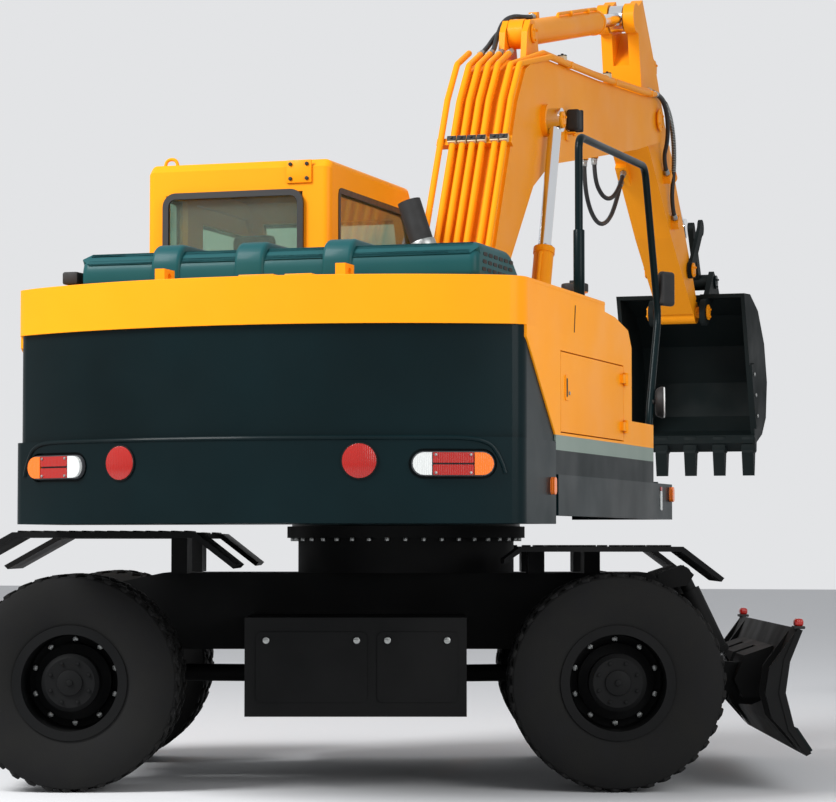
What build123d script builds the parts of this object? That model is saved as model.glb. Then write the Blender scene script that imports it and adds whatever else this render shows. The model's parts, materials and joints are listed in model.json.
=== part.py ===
"""Wheeled excavator, upper structure slewed across the undercarriage, as separate solids.

Machine frame: millimetres, origin on the ground under the slew axis, +X to the operator's
right, +Y along the boom, +Z up.  The undercarriage is built in its own frame (x towards the
blade, y across) and turned by SLEW_REST.  Everything is moved by SHIFT at export, so that the
written parts stand with the centre of their box over the origin.
"""

import os
from math import atan2, cos, hypot, pi, radians, sin, sqrt, tan

from build123d import *

# Placing
SLEW_REST = 18.0
SHIFT = (120.0, -2215.0)

# Wheels and axles
TYRE_R = 527.0
TYRE_W = 256.0
TWIN_PITCH = 330.0
HALF_TRACK = 957.0
RIM_R = 254.0
FLANGE_R = 278.0
BEAD_HALF = 104.0
FRONT_X = -1620.0
REAR_X = 1030.0
KINGPIN_Y = HALF_TRACK - 367.0
STEER_ARM = -260.0
SPINDLE_R = 60.0
SPINDLE_END = HALF_TRACK + 133.0
HUB_SEAT = HALF_TRACK - 67.0
GUARD_IN = HALF_TRACK - 317.0
GUARD_OUT = HALF_TRACK + 288.0

# Chassis
FRAME_HALF = 370.0
FRAME_BOTTOM = 660.0
FRAME_TOP = 1050.0
RING_TOP = 1290.0

# Dozer blade
BLADE_PIVOT = (1270.0, 560.0)
BLADE_BASE = (1430.0, 1040.0)
BLADE_EYE = (1715.0, 440.0)
BLADE_HALF = 1237.0
LEVER_OUT = HALF_TRACK - 372.0
LEVER_IN = LEVER_OUT - 65.0
LEVER_EAR = LEVER_IN - 10.0

# Upper structure
HALF_W = 1245.0
TAIL_R = 2450.0
DECK_Z = 1520.0
CW_BOTTOM = 1290.0
CW_TOP = 2178.0
LEDGE_Z = 1672.0
COVER_TOP = 2393.0
HOUSING_IN = 560.0
CW_FACE = 887.0 - TAIL_R
CW_STEP = 396.0 - TAIL_R
HOOD_BACK = 495.0 - TAIL_R
HOOD_HALF = HALF_W - 260.0
RAIL_X = HALF_W - 115.0
FILLER = (HALF_W - 235.0, -330.0)
LAMP_ANGLE, LAMP_Z = 23.1, 1552.0
HOOD_HINGE = (-1230.0, 2415.0)
HINGE_OUT = 14.0

# Cab
CAB_L, CAB_R = 16.0 - HALF_W, -211.0
CAB_WALL = 60.0
CAB_ROUND = 42.0
CAB_BACK = -600.0
CAB_FLOOR = 1545.0
CAB_TOP = 3177.0
CAB_HALF = (CAB_R - CAB_L) / 2
SEAT_HALF = CAB_HALF - 259.0
CONSOLE_OUT = CAB_HALF - 169.0
DOOR_REAR = -60.0
DOOR_GAP = 6.0
CAB_HINGES = (1800.0, 2750.0)

# Boom, arm and bucket, points as (Y, Z)
BOOM_X = 110.0
BOOM_HALF = 180.0
PLATE = 14.0
FOOT = (310.0, 1900.0)
LIFT_BASE = (1030.0, 1660.0)
LIFT_EYE = (1700.0, 3670.0)
LIFT_X = 250.0
NOSE = (4600.0, 4085.0)
CHEEK_IN = 138.0
ARM_HALF = 130.0
ARM_BASE = (1790.0, 4205.0)
HORN = (4215.0, 4722.0)
TIP = (6010.0, 2880.0)
BUCKET_HALF = 477.0
BUCKET_NOTCH = 150.0
ROCKER_BACK = 390.0
ROCKER_LEN = 480.0
LINK_LEN = 440.0
EAR_LEN = 380.0
EAR_ANGLE = 40.0
PIN_GAP = 0.3


# Small building helpers

def block(x0, x1, y0, y1, z0, z1):
    return Pos((x0 + x1) / 2, (y0 + y1) / 2, (z0 + z1) / 2) * Box(x1 - x0, y1 - y0, z1 - z0)


def outline(points, radius=0.0, corners=None):
    face = make_face(Polyline(*points, close=True))
    if radius:
        picked = face.vertices()
        if corners is not None:
            spots = [points[i] for i in corners]
            near = [v for v in picked if any(hypot(v.X - p[0], v.Y - p[1]) < 0.01 for p in spots)]
            picked = near
        face = fillet(picked, radius)
    return face


def side(points, x0, x1, radius=0.0, corners=None):
    """A (Y, Z) outline made solid from x0 to x1."""
    plane = Plane(origin=(x0, 0, 0), x_dir=(0, 1, 0), z_dir=(1, 0, 0))
    return extrude(plane * outline(points, radius, corners), x1 - x0)


def along(points, y0, y1, radius=0.0, corners=None):
    """An (X, Z) outline made solid from y0 to y1."""
    plane = Plane(origin=(0, y1, 0), x_dir=(1, 0, 0), z_dir=(0, -1, 0))
    return extrude(plane * outline(points, radius, corners), y1 - y0)


def plan(points, z0, z1, radius=0.0, corners=None):
    """An (X, Y) outline made solid from z0 to z1."""
    return extrude(Plane.XY.offset(z0) * outline(points, radius, corners), z1 - z0)


def rod(p, q, r, inner=0.0):
    """A round bar, or tube, from p to q."""
    direction = Vector(*q) - Vector(*p)
    plane = Plane(origin=p, z_dir=direction)
    face = Circle(r) - Circle(inner) if inner else Circle(r)
    return extrude(plane * face, direction.length)


def cross_pin(x0, x1, yz, r, inner=0.0):
    return rod((x0, yz[0], yz[1]), (x1, yz[0], yz[1]), r, inner)


def tube_path(points, r, bend):
    path = FilletPolyline(*points, radius=bend)
    section = Plane(origin=path @ 0, z_dir=path % 0) * Circle(r)
    return sweep(section, path=path)


def uc(shape):
    """Undercarriage frame to machine frame."""
    return Rot(0, 0, SLEW_REST) * shape


def uc_point(x, y, z):
    a = radians(SLEW_REST)
    return (x * cos(a) - y * sin(a), x * sin(a) + y * cos(a), z)


def rot_yz(point, about, angle):
    """A (Y, Z) point turned about another, anticlockwise seen from +X."""
    a = radians(angle)
    dy, dz = point[0] - about[0], point[1] - about[1]
    return (about[0] + dy * cos(a) - dz * sin(a), about[1] + dy * sin(a) + dz * cos(a))


# Derived places on the arm and its linkage

ARM_LEN = hypot(TIP[0] - NOSE[0], TIP[1] - NOSE[1])
ARM_U = ((TIP[0] - NOSE[0]) / ARM_LEN, (TIP[1] - NOSE[1]) / ARM_LEN)
ARM_V = (-ARM_U[1], ARM_U[0])


def on_arm(u, v):
    """Arm coordinates (along from the nose pin, above the arm's line) to (Y, Z)."""
    return (NOSE[0] + u * ARM_U[0] + v * ARM_V[0], NOSE[1] + u * ARM_U[1] + v * ARM_V[1])


def meet(c1, r1, c2, r2):
    """The upper left crossing of two circles in (Y, Z)."""
    d = hypot(c2[0] - c1[0], c2[1] - c1[1])
    a = (r1 * r1 - r2 * r2 + d * d) / (2 * d)
    h = sqrt(r1 * r1 - a * a)
    ey, ez = (c2[0] - c1[0]) / d, (c2[1] - c1[1]) / d
    return (c1[0] + a * ey - h * ez, c1[1] + a * ez + h * ey)


ROCKER_PIN = on_arm(ARM_LEN - ROCKER_BACK, 40)
EAR_PIN = (TIP[0] + EAR_LEN * cos(radians(EAR_ANGLE)), TIP[1] + EAR_LEN * sin(radians(EAR_ANGLE)))
LINK_PIN = meet(ROCKER_PIN, ROCKER_LEN, EAR_PIN, LINK_LEN)
CURL_BASE = on_arm(-60, 480)


# Undercarriage

def make_chassis():
    beam = along(
        [(-1950, 740), (-1850, FRAME_BOTTOM), (1250, FRAME_BOTTOM), (1390, 700),
         (1390, 960), (1250, FRAME_TOP), (-1250, FRAME_TOP), (-1950, 900)],
        -FRAME_HALF, FRAME_HALF)
    core = along(
        [(-1900, 760), (-1830, 700), (1200, 700), (1200, 1010), (-1250, 1010), (-1900, 880)],
        -FRAME_HALF + 25, FRAME_HALF - 25)
    frame = beam - core
    tower = Cylinder(567, 180, align=(Align.CENTER, Align.CENTER, Align.MIN))
    tower -= Cylinder(500, 180, align=(Align.CENTER, Align.CENTER, Align.MIN))
    frame += Pos(0, 0, FRAME_TOP) * tower
    ring_h = RING_TOP - PIN_GAP - 1230
    ring = Cylinder(625, ring_h, align=(Align.CENTER, Align.CENTER, Align.MIN))
    ring -= Cylinder(500, ring_h, align=(Align.CENTER, Align.CENTER, Align.MIN))
    frame += Pos(0, 0, 1230) * ring
    for s in (-1, 1):
        y0, y1 = sorted((s * FRAME_HALF, s * 1150))
        frame += block(-780, 300, y0, y1, 360, 840)
        b0, b1 = sorted((s * (LEVER_EAR - 40), s * LEVER_EAR))
        ear = along([(1180, 640), (1270 - 70, 500), (1270 + 70, 500), (1360, 700)], b0, b1)
        c0, c1 = sorted((s * (FRAME_HALF - 20), s * LEVER_EAR))
        frame += ear + block(1150, 1390, c0, c1, 690, 760)
        frame += cross_y((s * (LEVER_EAR - 85), s * LEVER_OUT), BLADE_PIVOT, 38)
        for off in (-75, 45):
            e0 = s * 260 + off
            lug = [(1300, 950), (1385, 975), (1450, 985), (1485, 1040), (1430, 1090), (1300, 1048)]
            frame += along(lug, e0, e0 + 30)
        frame += cross_y((s * 260 - 75, s * 260 + 75), BLADE_BASE, 32)
    return uc(frame)


def cross_y(span, xz, r):
    y0, y1 = sorted(span)
    return rod((xz[0], y0, xz[1]), (xz[0], y1, xz[1]), r)


def make_mudguards():
    guards = []
    for s in (-1, 1):
        y0, y1 = sorted((s * GUARD_IN, s * GUARD_OUT))
        rear = along(
            [(480, 1100), (480, 1125), (560, 1185), (1346, 1185), (1544, 1033), (1530, 1015), (1336, 1160),
             (566, 1160)], y0, y1)
        front = along(
            [(-2190, 1060), (-2210, 1080), (-1900, 1255), (-1016, 1255), (-813, 1096), (-830, 1078),
             (-1024, 1228), (-1892, 1228)], y0, y1)
        i0, i1 = sorted((s * (FRAME_HALF - 20), s * (GUARD_IN + 20)))
        rear += block(900, 980, i0, i1, 1050, 1160) + block(620, 700, i0, i1, 1050, 1160)
        front += block(-1180, -1100, i0, i1, 1050, 1228)
        front += block(-1180, -1100, s * 360 - 20, s * 360 + 20, FRAME_TOP, 1100)
        guards += [rear, front]
    return uc(Compound(children=guards))


def make_rear_axle():
    axle = rod((REAR_X, -HUB_SEAT, TYRE_R), (REAR_X, HUB_SEAT, TYRE_R), 95)
    axle += rod((REAR_X, -SPINDLE_END, TYRE_R), (REAR_X, SPINDLE_END, TYRE_R), SPINDLE_R)
    axle += rod((REAR_X, -KINGPIN_Y - 70, TYRE_R), (REAR_X, KINGPIN_Y + 70, TYRE_R), 125)
    casing = Pos(REAR_X, 0, TYRE_R) * Sphere(215)
    axle += casing & block(REAR_X - 300, REAR_X + 300, -300, 300, 0, FRAME_BOTTOM)
    for s in (-1, 1):
        axle += block(REAR_X - 110, REAR_X + 110, s * 300 - 60, s * 300 + 60, TYRE_R, FRAME_BOTTOM)
    return uc(axle)


def make_front_axle():
    axle = rod((FRONT_X, 120 - KINGPIN_Y, TYRE_R), (FRONT_X, KINGPIN_Y - 120, TYRE_R), 115)
    casing = Pos(FRONT_X, 0, TYRE_R) * Sphere(190)
    axle += casing & block(FRONT_X - 300, FRONT_X + 300, -300, 300, 0, FRAME_BOTTOM)
    axle += rod((FRONT_X - 160, 0, TYRE_R), (FRONT_X + 160, 0, TYRE_R), 70)
    axle += block(FRONT_X - 110, FRONT_X + 110, -90, 90, TYRE_R, FRAME_BOTTOM)
    for s in (-1, 1):
        y0, y1 = sorted((s * (KINGPIN_Y - 150), s * (KINGPIN_Y - 90)))
        axle += block(FRONT_X - 75, FRONT_X + 75, y0, y1, TYRE_R - 150, TYRE_R + 150)
        for z in (TYRE_R + 115, TYRE_R - 150):
            y0, y1 = sorted((s * (KINGPIN_Y - 150), s * KINGPIN_Y))
            axle += block(FRONT_X - 70, FRONT_X + 70, y0, y1, z, z + 35)
            axle += Pos(FRONT_X, s * KINGPIN_Y, z + 17.5) * Cylinder(70, 35)
        axle += Pos(FRONT_X, s * KINGPIN_Y, TYRE_R) * Cylinder(28, 290)
    return uc(axle)


def make_drive_line():
    gearbox = block(-300, 200, -190, 190, 430, FRAME_BOTTOM)
    line = gearbox + rod((200, 0, 520), (REAR_X - 222, 0, TYRE_R), 45)
    line += rod((FRONT_X + 212, 0, TYRE_R), (-300, 0, 520), 45)
    return uc(line)


def make_knuckle(s):
    y = s * KINGPIN_Y
    body = Pos(FRONT_X, y, TYRE_R) * Cylinder(62, 218)
    body += rod((FRONT_X, y, TYRE_R), (FRONT_X, s * HUB_SEAT, TYRE_R), 90)
    body += rod((FRONT_X, y, TYRE_R), (FRONT_X, s * SPINDLE_END, TYRE_R), SPINDLE_R)
    body += block(FRONT_X + STEER_ARM, FRONT_X + 5, y - 30, y + 30, TYRE_R - 30, TYRE_R + 10)
    body += Pos(FRONT_X + STEER_ARM, y, TYRE_R - 10) * Cylinder(45, 40)
    body -= Pos(FRONT_X, y, TYRE_R) * Cylinder(28 + PIN_GAP, 300)
    body -= Pos(FRONT_X + STEER_ARM, y, TYRE_R) * Cylinder(16 + PIN_GAP, 100)
    return uc(body)


def make_tie_rod():
    x = FRONT_X + STEER_ARM
    z = TYRE_R + 50
    bar = rod((x, -KINGPIN_Y, z), (x, KINGPIN_Y, z), 26)
    for s in (-1, 1):
        bar += Pos(x, s * KINGPIN_Y, z) * Cylinder(36, 79)
        bar += Pos(x, s * KINGPIN_Y, z - 50) * Cylinder(16, 60)
    return uc(bar)


def wheel_place(front, s):
    return (FRONT_X if front else REAR_X, s * HALF_TRACK, TYRE_R)


def spun(points, place, s):
    """A profile of radii and distances out from the wheel's middle, turned about its axle."""
    wheel = revolve(make_face(Polyline(*points, close=True)), Axis.Y, 360)
    return Pos(*place) * Rot(0, 0, 0 if s > 0 else 180) * Rot(0, 75, 0) * wheel


def make_tyres(front, s):
    rings = []
    for side_sign in (-1, 1):
        mid = side_sign * TWIN_PITCH / 2
        half = TYRE_W / 2
        profile = [
            (RIM_R + PIN_GAP, mid - 97), (RIM_R + PIN_GAP, mid + 97), (400, mid + half),
            (490, mid + half - 12),
            (TYRE_R, mid + 88), (TYRE_R, mid - 88), (490, mid - half + 12), (400, mid - half),
        ]
        rings.append(spun(profile, wheel_place(front, s), s))
    return uc(Compound(children=rings))


def make_rim(front, s):
    far, near = TWIN_PITCH / 2 + BEAD_HALF, TWIN_PITCH / 2 - BEAD_HALF - 10
    bore, spindle = SPINDLE_R + PIN_GAP, SPINDLE_END - HALF_TRACK
    profile = [
        (0, 258), (120, 258), (140, 238), (140, 128), (185, 108), (185, 20), (225, 20), (234, 53),
        (234, far + 10), (FLANGE_R, far + 10), (FLANGE_R, far), (RIM_R, far), (RIM_R, near + 10),
        (FLANGE_R, near + 10), (FLANGE_R, near), (RIM_R, near), (RIM_R, -near), (FLANGE_R, -near),
        (FLANGE_R, -near - 10), (RIM_R, -near - 10), (RIM_R, -far), (FLANGE_R, -far), (FLANGE_R, -far - 10),
        (234, -far - 10), (234, -20), (bore, -20), (bore, spindle + 5), (0, spindle + 5),
    ]
    return uc(spun(profile, wheel_place(front, s), s))


def make_blade():
    skin = [(1898, 791), (1830, 640), (1805, 480), (1850, 300), (1936, 176), (1960, 190), (1880, 310),
            (1838, 480), (1860, 630), (1922, 781)]
    blade = along(skin, -BLADE_HALF, BLADE_HALF)
    beam = [(1845, 690), (1700, 640), (1650, 520), (1690, 430), (1812, 430), (1806, 480), (1828, 640)]
    back = along(beam, -700, 700)
    for s in (-1, 1):
        back -= block(1600, 1803, s * 260 - 62, s * 260 + 62, 360, 760)
    blade += back
    for s in (-1, 1):
        for y in (s * (BLADE_HALF - 22), s * (BLADE_HALF - 287)):
            blade += along([(1890, 775), (1760, 600), (1740, 480), (1770, 360), (1925, 185), (1850, 300),
                            (1812, 480), (1835, 640)], y - 15, y + 15)
        y0, y1 = sorted((s * LEVER_IN, s * LEVER_OUT))
        lever = [(1230, 505), (1330, 500), (1700, 430), (1700, 600), (1330, 625), (1230, 612)]
        arm = along(lever, y0, y1) + cross_y((y0, y1), BLADE_PIVOT, 75)
        blade += arm - cross_y((y0 - 5, y1 + 5), BLADE_PIVOT, 38 + PIN_GAP)
        c = s * 260
        for e0 in (c - 92, c + 62):
            lug = [(1660, 410), (1690, 380), (1775, 375), (1830, 400), (1815, 560), (1655, 520)]
            blade += along(lug, e0, e0 + 30)
    return uc(blade)


def uc_cylinder(base, eye, y, r_barrel, r_rod, share, start, eye_r):
    """Barrel to share and rod from start, along a cylinder in the undercarriage's x-z plane."""
    length = hypot(eye[0] - base[0], eye[1] - base[1])
    ux, uz = (eye[0] - base[0]) / length, (eye[1] - base[1]) / length

    def at(t):
        return (base[0] + ux * t, y, base[1] + uz * t)

    neck = eye_r + 45
    barrel = rod(at(neck), at(share), r_barrel) + rod(at(0), at(neck + 5), 36)
    barrel += cross_y((y - 40, y + 40), base, eye_r)
    barrel -= cross_y((y - 41, y + 41), base, 32 + PIN_GAP)
    barrel -= rod(at(neck + 15), at(share + 1), r_rod + 5)
    barrel += rod(at(share - 30), at(share), r_barrel + 5, r_rod + PIN_GAP)
    stick = rod(at(start), at(length), r_rod) + cross_y((y - 56, y + 56), eye, eye_r)
    return barrel, stick


def make_blade_cylinders():
    barrels, rods = [], []
    for s in (-1, 1):
        barrel, stick = uc_cylinder(BLADE_BASE, BLADE_EYE, s * 260, 52, 28, 446, 276, 44)
        barrels.append(barrel)
        rods.append(stick)
    return uc(Compound(children=barrels)), uc(Compound(children=rods))


# Upper structure

def tail_solid(radius, half, front, z0, z1, corner=90):
    angle = atan2(half, sqrt(radius * radius - half * half))
    left = (-half, -radius * cos(angle))
    right = (half, -radius * cos(angle))
    back = ThreePointArc(left, (0, -radius), right)
    sides = Polyline(right, (half, front), (-half, front), left)
    face = make_face([back, sides])
    ends = [v for v in face.vertices() if v.Y < front - 1]
    face = fillet(ends, corner)
    return extrude(Plane.XY.offset(z0) * face, z1 - z0)


CW_FRONT = [(CW_FACE, CW_BOTTOM), (CW_FACE, 1697), (CW_STEP, 2124), (CW_STEP, CW_TOP),
            (-TAIL_R - 150, CW_TOP), (-TAIL_R - 150, CW_BOTTOM)]


def make_counterweight():
    lower = tail_solid(TAIL_R, HALF_W, CW_FACE + 63, CW_BOTTOM, LEDGE_Z)
    upper = tail_solid(TAIL_R - 32, HALF_W - 8, CW_FACE + 63, LEDGE_Z, CW_TOP)
    weight = (lower + upper) & side(CW_FRONT, -HALF_W - 55, HALF_W + 55)
    for s in (-1, 1):
        weight -= lamp_shape(s, 12)
    return weight


def lamp_shape(s, grow):
    """A capsule on the tail's lower face, about 370 wide and 110 high."""
    angle = s * LAMP_ANGLE
    a = radians(angle)
    out = (sin(a), -cos(a), 0)
    origin = (out[0] * (TAIL_R - 25), out[1] * (TAIL_R - 25), LAMP_Z)
    plane = Plane(origin=origin, x_dir=(cos(a), sin(a), 0), z_dir=out)
    return extrude(plane * SlotOverall(370 + 2 * grow, 110 + 2 * grow), 45)


def make_tail_lamps():
    return Compound(children=[lamp_shape(s, 0) for s in (-1, 1)])


def make_rear_cover():
    cover = tail_solid(TAIL_R - 10, HALF_W, -1290, CW_TOP, COVER_TOP, 110)
    cover -= block(-HOOD_HALF - 25, HOOD_HALF + 25, HOOD_BACK - 35, -1200, CW_TOP - 10, COVER_TOP + 10)
    cover += block(-HALF_W, HALF_W, -1290, -640, COVER_TOP - 40, COVER_TOP)
    for x in (-700, 700):
        for e0 in (x - 46, x + 34):
            cover += block(e0, e0 + 12, HOOD_HINGE[0] - 14, HOOD_HINGE[0] + 14, COVER_TOP - 2, HOOD_HINGE[1])
            cover += cross_pin(e0, e0 + 12, HOOD_HINGE, 15)
        cover += cross_pin(x - 46, x + 46, HOOD_HINGE, 10)
    for x in (-480, 405):
        y = HOOD_BACK - 165
        cover += block(x - 24, x + 24, y - 60, y + 60, COVER_TOP - 5, COVER_TOP + 75)
        cover -= rod((x - 30, y, COVER_TOP + 40), (x + 30, y, COVER_TOP + 40), 18)
    return cover


def make_hood():
    back = HOOD_BACK
    shape = [(back, 2400), (back, 2520), (back + 55, 2577), (-1400, 2577), (-1250, 2480), (-1250, 2400)]
    inner = [(back + 25, 2395), (back + 25, 2510), (back + 67, 2552), (-1408, 2552), (-1275, 2465),
             (-1275, 2395)]
    hood = side(shape, -HOOD_HALF, HOOD_HALF) - side(inner, -HOOD_HALF + 25, HOOD_HALF - 25)
    rib = [(back - 10, 2400), (back - 10, 2540), (back + 45, 2610), (-1420, 2610), (-1350, 2540),
           (-1450, 2560), (back + 55, 2560), (back + 5, 2515), (back + 5, 2400)]
    for x in (-545, -125, 310):
        hood += side(rib, x - 75, x + 75)
    for x in (-700, 700):
        tongue = block(x - 30, x + 30, -1255, HOOD_HINGE[0], 2404, 2426)
        tongue += cross_pin(x - 30, x + 30, HOOD_HINGE, 17)
        hood += tongue - cross_pin(x - 31, x + 31, HOOD_HINGE, 10 + PIN_GAP)
    return hood


HOUSING = [(CW_FACE, DECK_Z), (-87, DECK_Z), (-87, 2200), (-160, 2285), (-424, 2332), (-640, 2345),
           (-640, 2353), (-1290, 2353), (-1290, CW_TOP), (CW_STEP, CW_TOP), (CW_STEP, 2124), (CW_FACE, 1697)]
HOUSING_LEFT = [(CW_FACE, DECK_Z), (-640, DECK_Z), (-640, 2353), (-1290, 2353), (-1290, CW_TOP),
                (CW_STEP, CW_TOP), (CW_STEP, 2124), (CW_FACE, 1697)]


def hinge_frame(x, y, z, out, back):
    """Two lugs and a pin of a door hinge; out and back are the signs away from wall and leaf."""
    pin = rod((x, y, z - 32), (x, y, z + 32), 7)
    for z0 in (z - 32, z + 24):
        x0, x1 = sorted((x - out * (HINGE_OUT - 0.5), x + out * 12))
        y0, y1 = sorted((y, y + back * 30))
        r0, r1 = sorted((x - out * (HINGE_OUT + 10), x))
        t0, t1 = sorted((y + back * 8, y + back * 30))
        pin += block(x0, x1, y0, y1, z0, z0 + 8) + block(r0, r1, t0, t1, z0, z0 + 8)
        pin += rod((x, y, z0), (x, y, z0 + 8), 12)
    return pin


def hinge_leaf(x, y, z, out, back):
    """The strap and eye of a door hinge."""
    x0, x1 = sorted((x - out * HINGE_OUT, x + out * 4))
    y0, y1 = sorted((y - back * 5, y - back * 70))
    leaf = block(x0, x1, y0, y1, z - 22, z + 22) + rod((x, y, z - 22), (x, y, z + 22), 13)
    return leaf - rod((x, y, z - 23), (x, y, z + 23), 7 + PIN_GAP)


DOOR_BACK, DOOR_LOW, DOOR_HIGH = CW_FACE + 83.0, 1715.0, 2140.0
DOOR_HINGES = (1790.0, 2030.0)


def make_housing(sign, front, shape):
    x0, x1 = sorted((sign * HOUSING_IN, sign * HALF_W))
    house = side(shape, x0, x1)
    c0, c1 = sorted((sign * (HOUSING_IN + 30), sign * (HALF_W - 45)))
    house -= block(c0, c1, CW_FACE + 43, front - 40, DECK_Z + 30, 2120)
    d0, d1 = sorted((sign * (HALF_W - 60), sign * (HALF_W + 10)))
    house -= block(d0, d1, DOOR_BACK, front - 175, DOOR_LOW, DOOR_HIGH - 40)
    for z in DOOR_HINGES:
        house += hinge_frame(sign * (HALF_W + HINGE_OUT), front - 178, z, sign, 1)
    return house


def make_right_housing():
    house = make_housing(1, -87, HOUSING)
    tool_box = block(640, HALF_W - 5, -87, 412, DECK_Z, 1826)
    return house + tool_box


def make_left_housing():
    return make_housing(-1, -640, HOUSING_LEFT)


def make_service_door(sign, front):
    d0, d1 = sorted((sign * (HALF_W - 40), sign * HALF_W))
    gap = DOOR_GAP
    door = block(d0, d1, DOOR_BACK + gap, front - 175 - gap, DOOR_LOW + gap, DOOR_HIGH - 40 - gap)
    for z in DOOR_HINGES:
        door += hinge_leaf(sign * (HALF_W + HINGE_OUT), front - 178, z, sign, 1)
    return door


def make_upper_frame():
    back = CW_FACE + 43
    deck = plan([(HALF_W, back), (HALF_W, 824), (640, 824), (640, 1090), (-205, 1090), (-205, 1150),
                 (-HALF_W, 1150), (-HALF_W, back)], 1478, DECK_Z)
    frame = deck
    for s, front in ((-1, 1150), (1, 824)):
        x0, x1 = sorted((s * (HALF_W - 60), s * HALF_W))
        frame += block(x0, x1, back, front, 1330, 1478)
    frame += block(700, HALF_W, 764, 824, 1330, 1478)
    frame += block(-HALF_W, -300, 1090, 1150, 1330, 1478)
    frame += block(-620, 620, back + 20, 640, 1320, 1478)
    frame += Pos(0, 0, RING_TOP) * Cylinder(600, 30, align=(Align.CENTER, Align.CENTER, Align.MIN))
    cheek = [(-560, 1478), (640, 1478), (560, 1700), (460, 1980), (310, 2060), (160, 1980), (-200, 1640),
             (-560, 1560)]
    for s in (-1, 1):
        x0, x1 = sorted((BOOM_X + s * 186, BOOM_X + s * 214))
        frame += side(cheek, x0, x1)
        c = BOOM_X + s * LIFT_X
        frame += block(c - 64, c + 64, 560, 1090, 1478, 1560)
        for e0 in (c - 64, c + 43):
            frame += side([(880, 1550), (1090, 1550), (1105, 1660), (1030, 1740), (930, 1710)], e0, e0 + 21)
        frame += cross_pin(c - 64, c + 64, LIFT_BASE, 36)
    frame += cross_pin(BOOM_X - 216, BOOM_X + 216, FOOT, 50)
    frame += block(-HOUSING_IN, HOUSING_IN, -680, -640, DECK_Z - 5, COVER_TOP - 40)
    for x in (CAB_L + 120, CAB_R - 120):
        for y in (-450, 950):
            frame += Pos(x, y, DECK_Z - 2) * Cylinder(60, 27, align=(Align.CENTER, Align.CENTER, Align.MIN))
    return frame


def make_engine_block():
    return block(-480, 520, CW_FACE + 63, -900, DECK_Z, 2250)


def make_handrail():
    x = RAIL_X
    path = [(x, -700, COVER_TOP), (x, -700, 3215), (x, 700, 3240), (x, 1000, 2450), (x, 780, 1900),
            (x, 780, DECK_Z)]
    rail = tube_path(path, 20, 130)
    rail += rod((x, -700, COVER_TOP), (x, -700, 2750), 28)
    rail += Pos(x + 45, 1010, 2600) * Rot(0, 0, 65) * Box(190, 50, 290)
    rail += rod((x, 950, 2583), (x + 45, 1010, 2600), 14)
    return rail


def make_exhaust():
    elbow = (425, -950, 2600)
    pipe = rod((elbow[0], elbow[1], COVER_TOP), elbow, 66)
    pipe += Pos(*elbow) * Sphere(58)
    pipe += rod(elbow, (elbow[0] - 97, elbow[1], elbow[2] + 290), 58, 51)
    return pipe


def make_fuel_filler():
    filler = Pos(*FILLER, 2310) * Cylinder(52, 160, align=(Align.CENTER, Align.CENTER, Align.MIN))
    filler += Pos(*FILLER, 2470) * Cylinder(66, 45, align=(Align.CENTER, Align.CENTER, Align.MIN))
    house = side(HOUSING, HOUSING_IN, HALF_W)
    return filler - house


# Cab

CAB_SIDE = [(CAB_BACK, CAB_FLOOR), (1120, CAB_FLOOR), (1140, 2150), (800, 3060), (700, CAB_TOP),
            (CAB_BACK + 40, CAB_TOP), (CAB_BACK, CAB_TOP - 40)]
DOOR_HOLE = [(DOOR_REAR, 1640), (1030, 1640), (1045, 2140), (745, 2960), (690, 3030), (DOOR_REAR, 3030)]
RIGHT_WINDOW = [(-470, 2330), (900, 2330), (980, 2400), (745, 2960), (690, 3030), (-470, 3030)]
QUARTER_WINDOW = [(-480, 2330), (-190, 2330), (-190, 3030), (-480, 3030)]
REAR_WINDOW = (CAB_L + 107, CAB_R - 152, 2330.0, 3012.0)
CAB_CHIN = ((1122.0, 1605.0), (1140.0, 2150.0))
CAB_BROW = ((1140.0, 2150.0), (800.0, 3060.0))
CHIN_WINDOW = (1700.0, 2100.0)
BROW_WINDOW = (2210.0, 3010.0)


def shrunk(points, d):
    """An outline moved in by d all round."""
    face = offset(make_face(Polyline(*points, close=True)), -d, kind=Kind.INTERSECTION)
    loop = face.faces()[0].outer_wire().order_edges()
    return [(e.position_at(0).X, e.position_at(0).Y) for e in loop]


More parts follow.
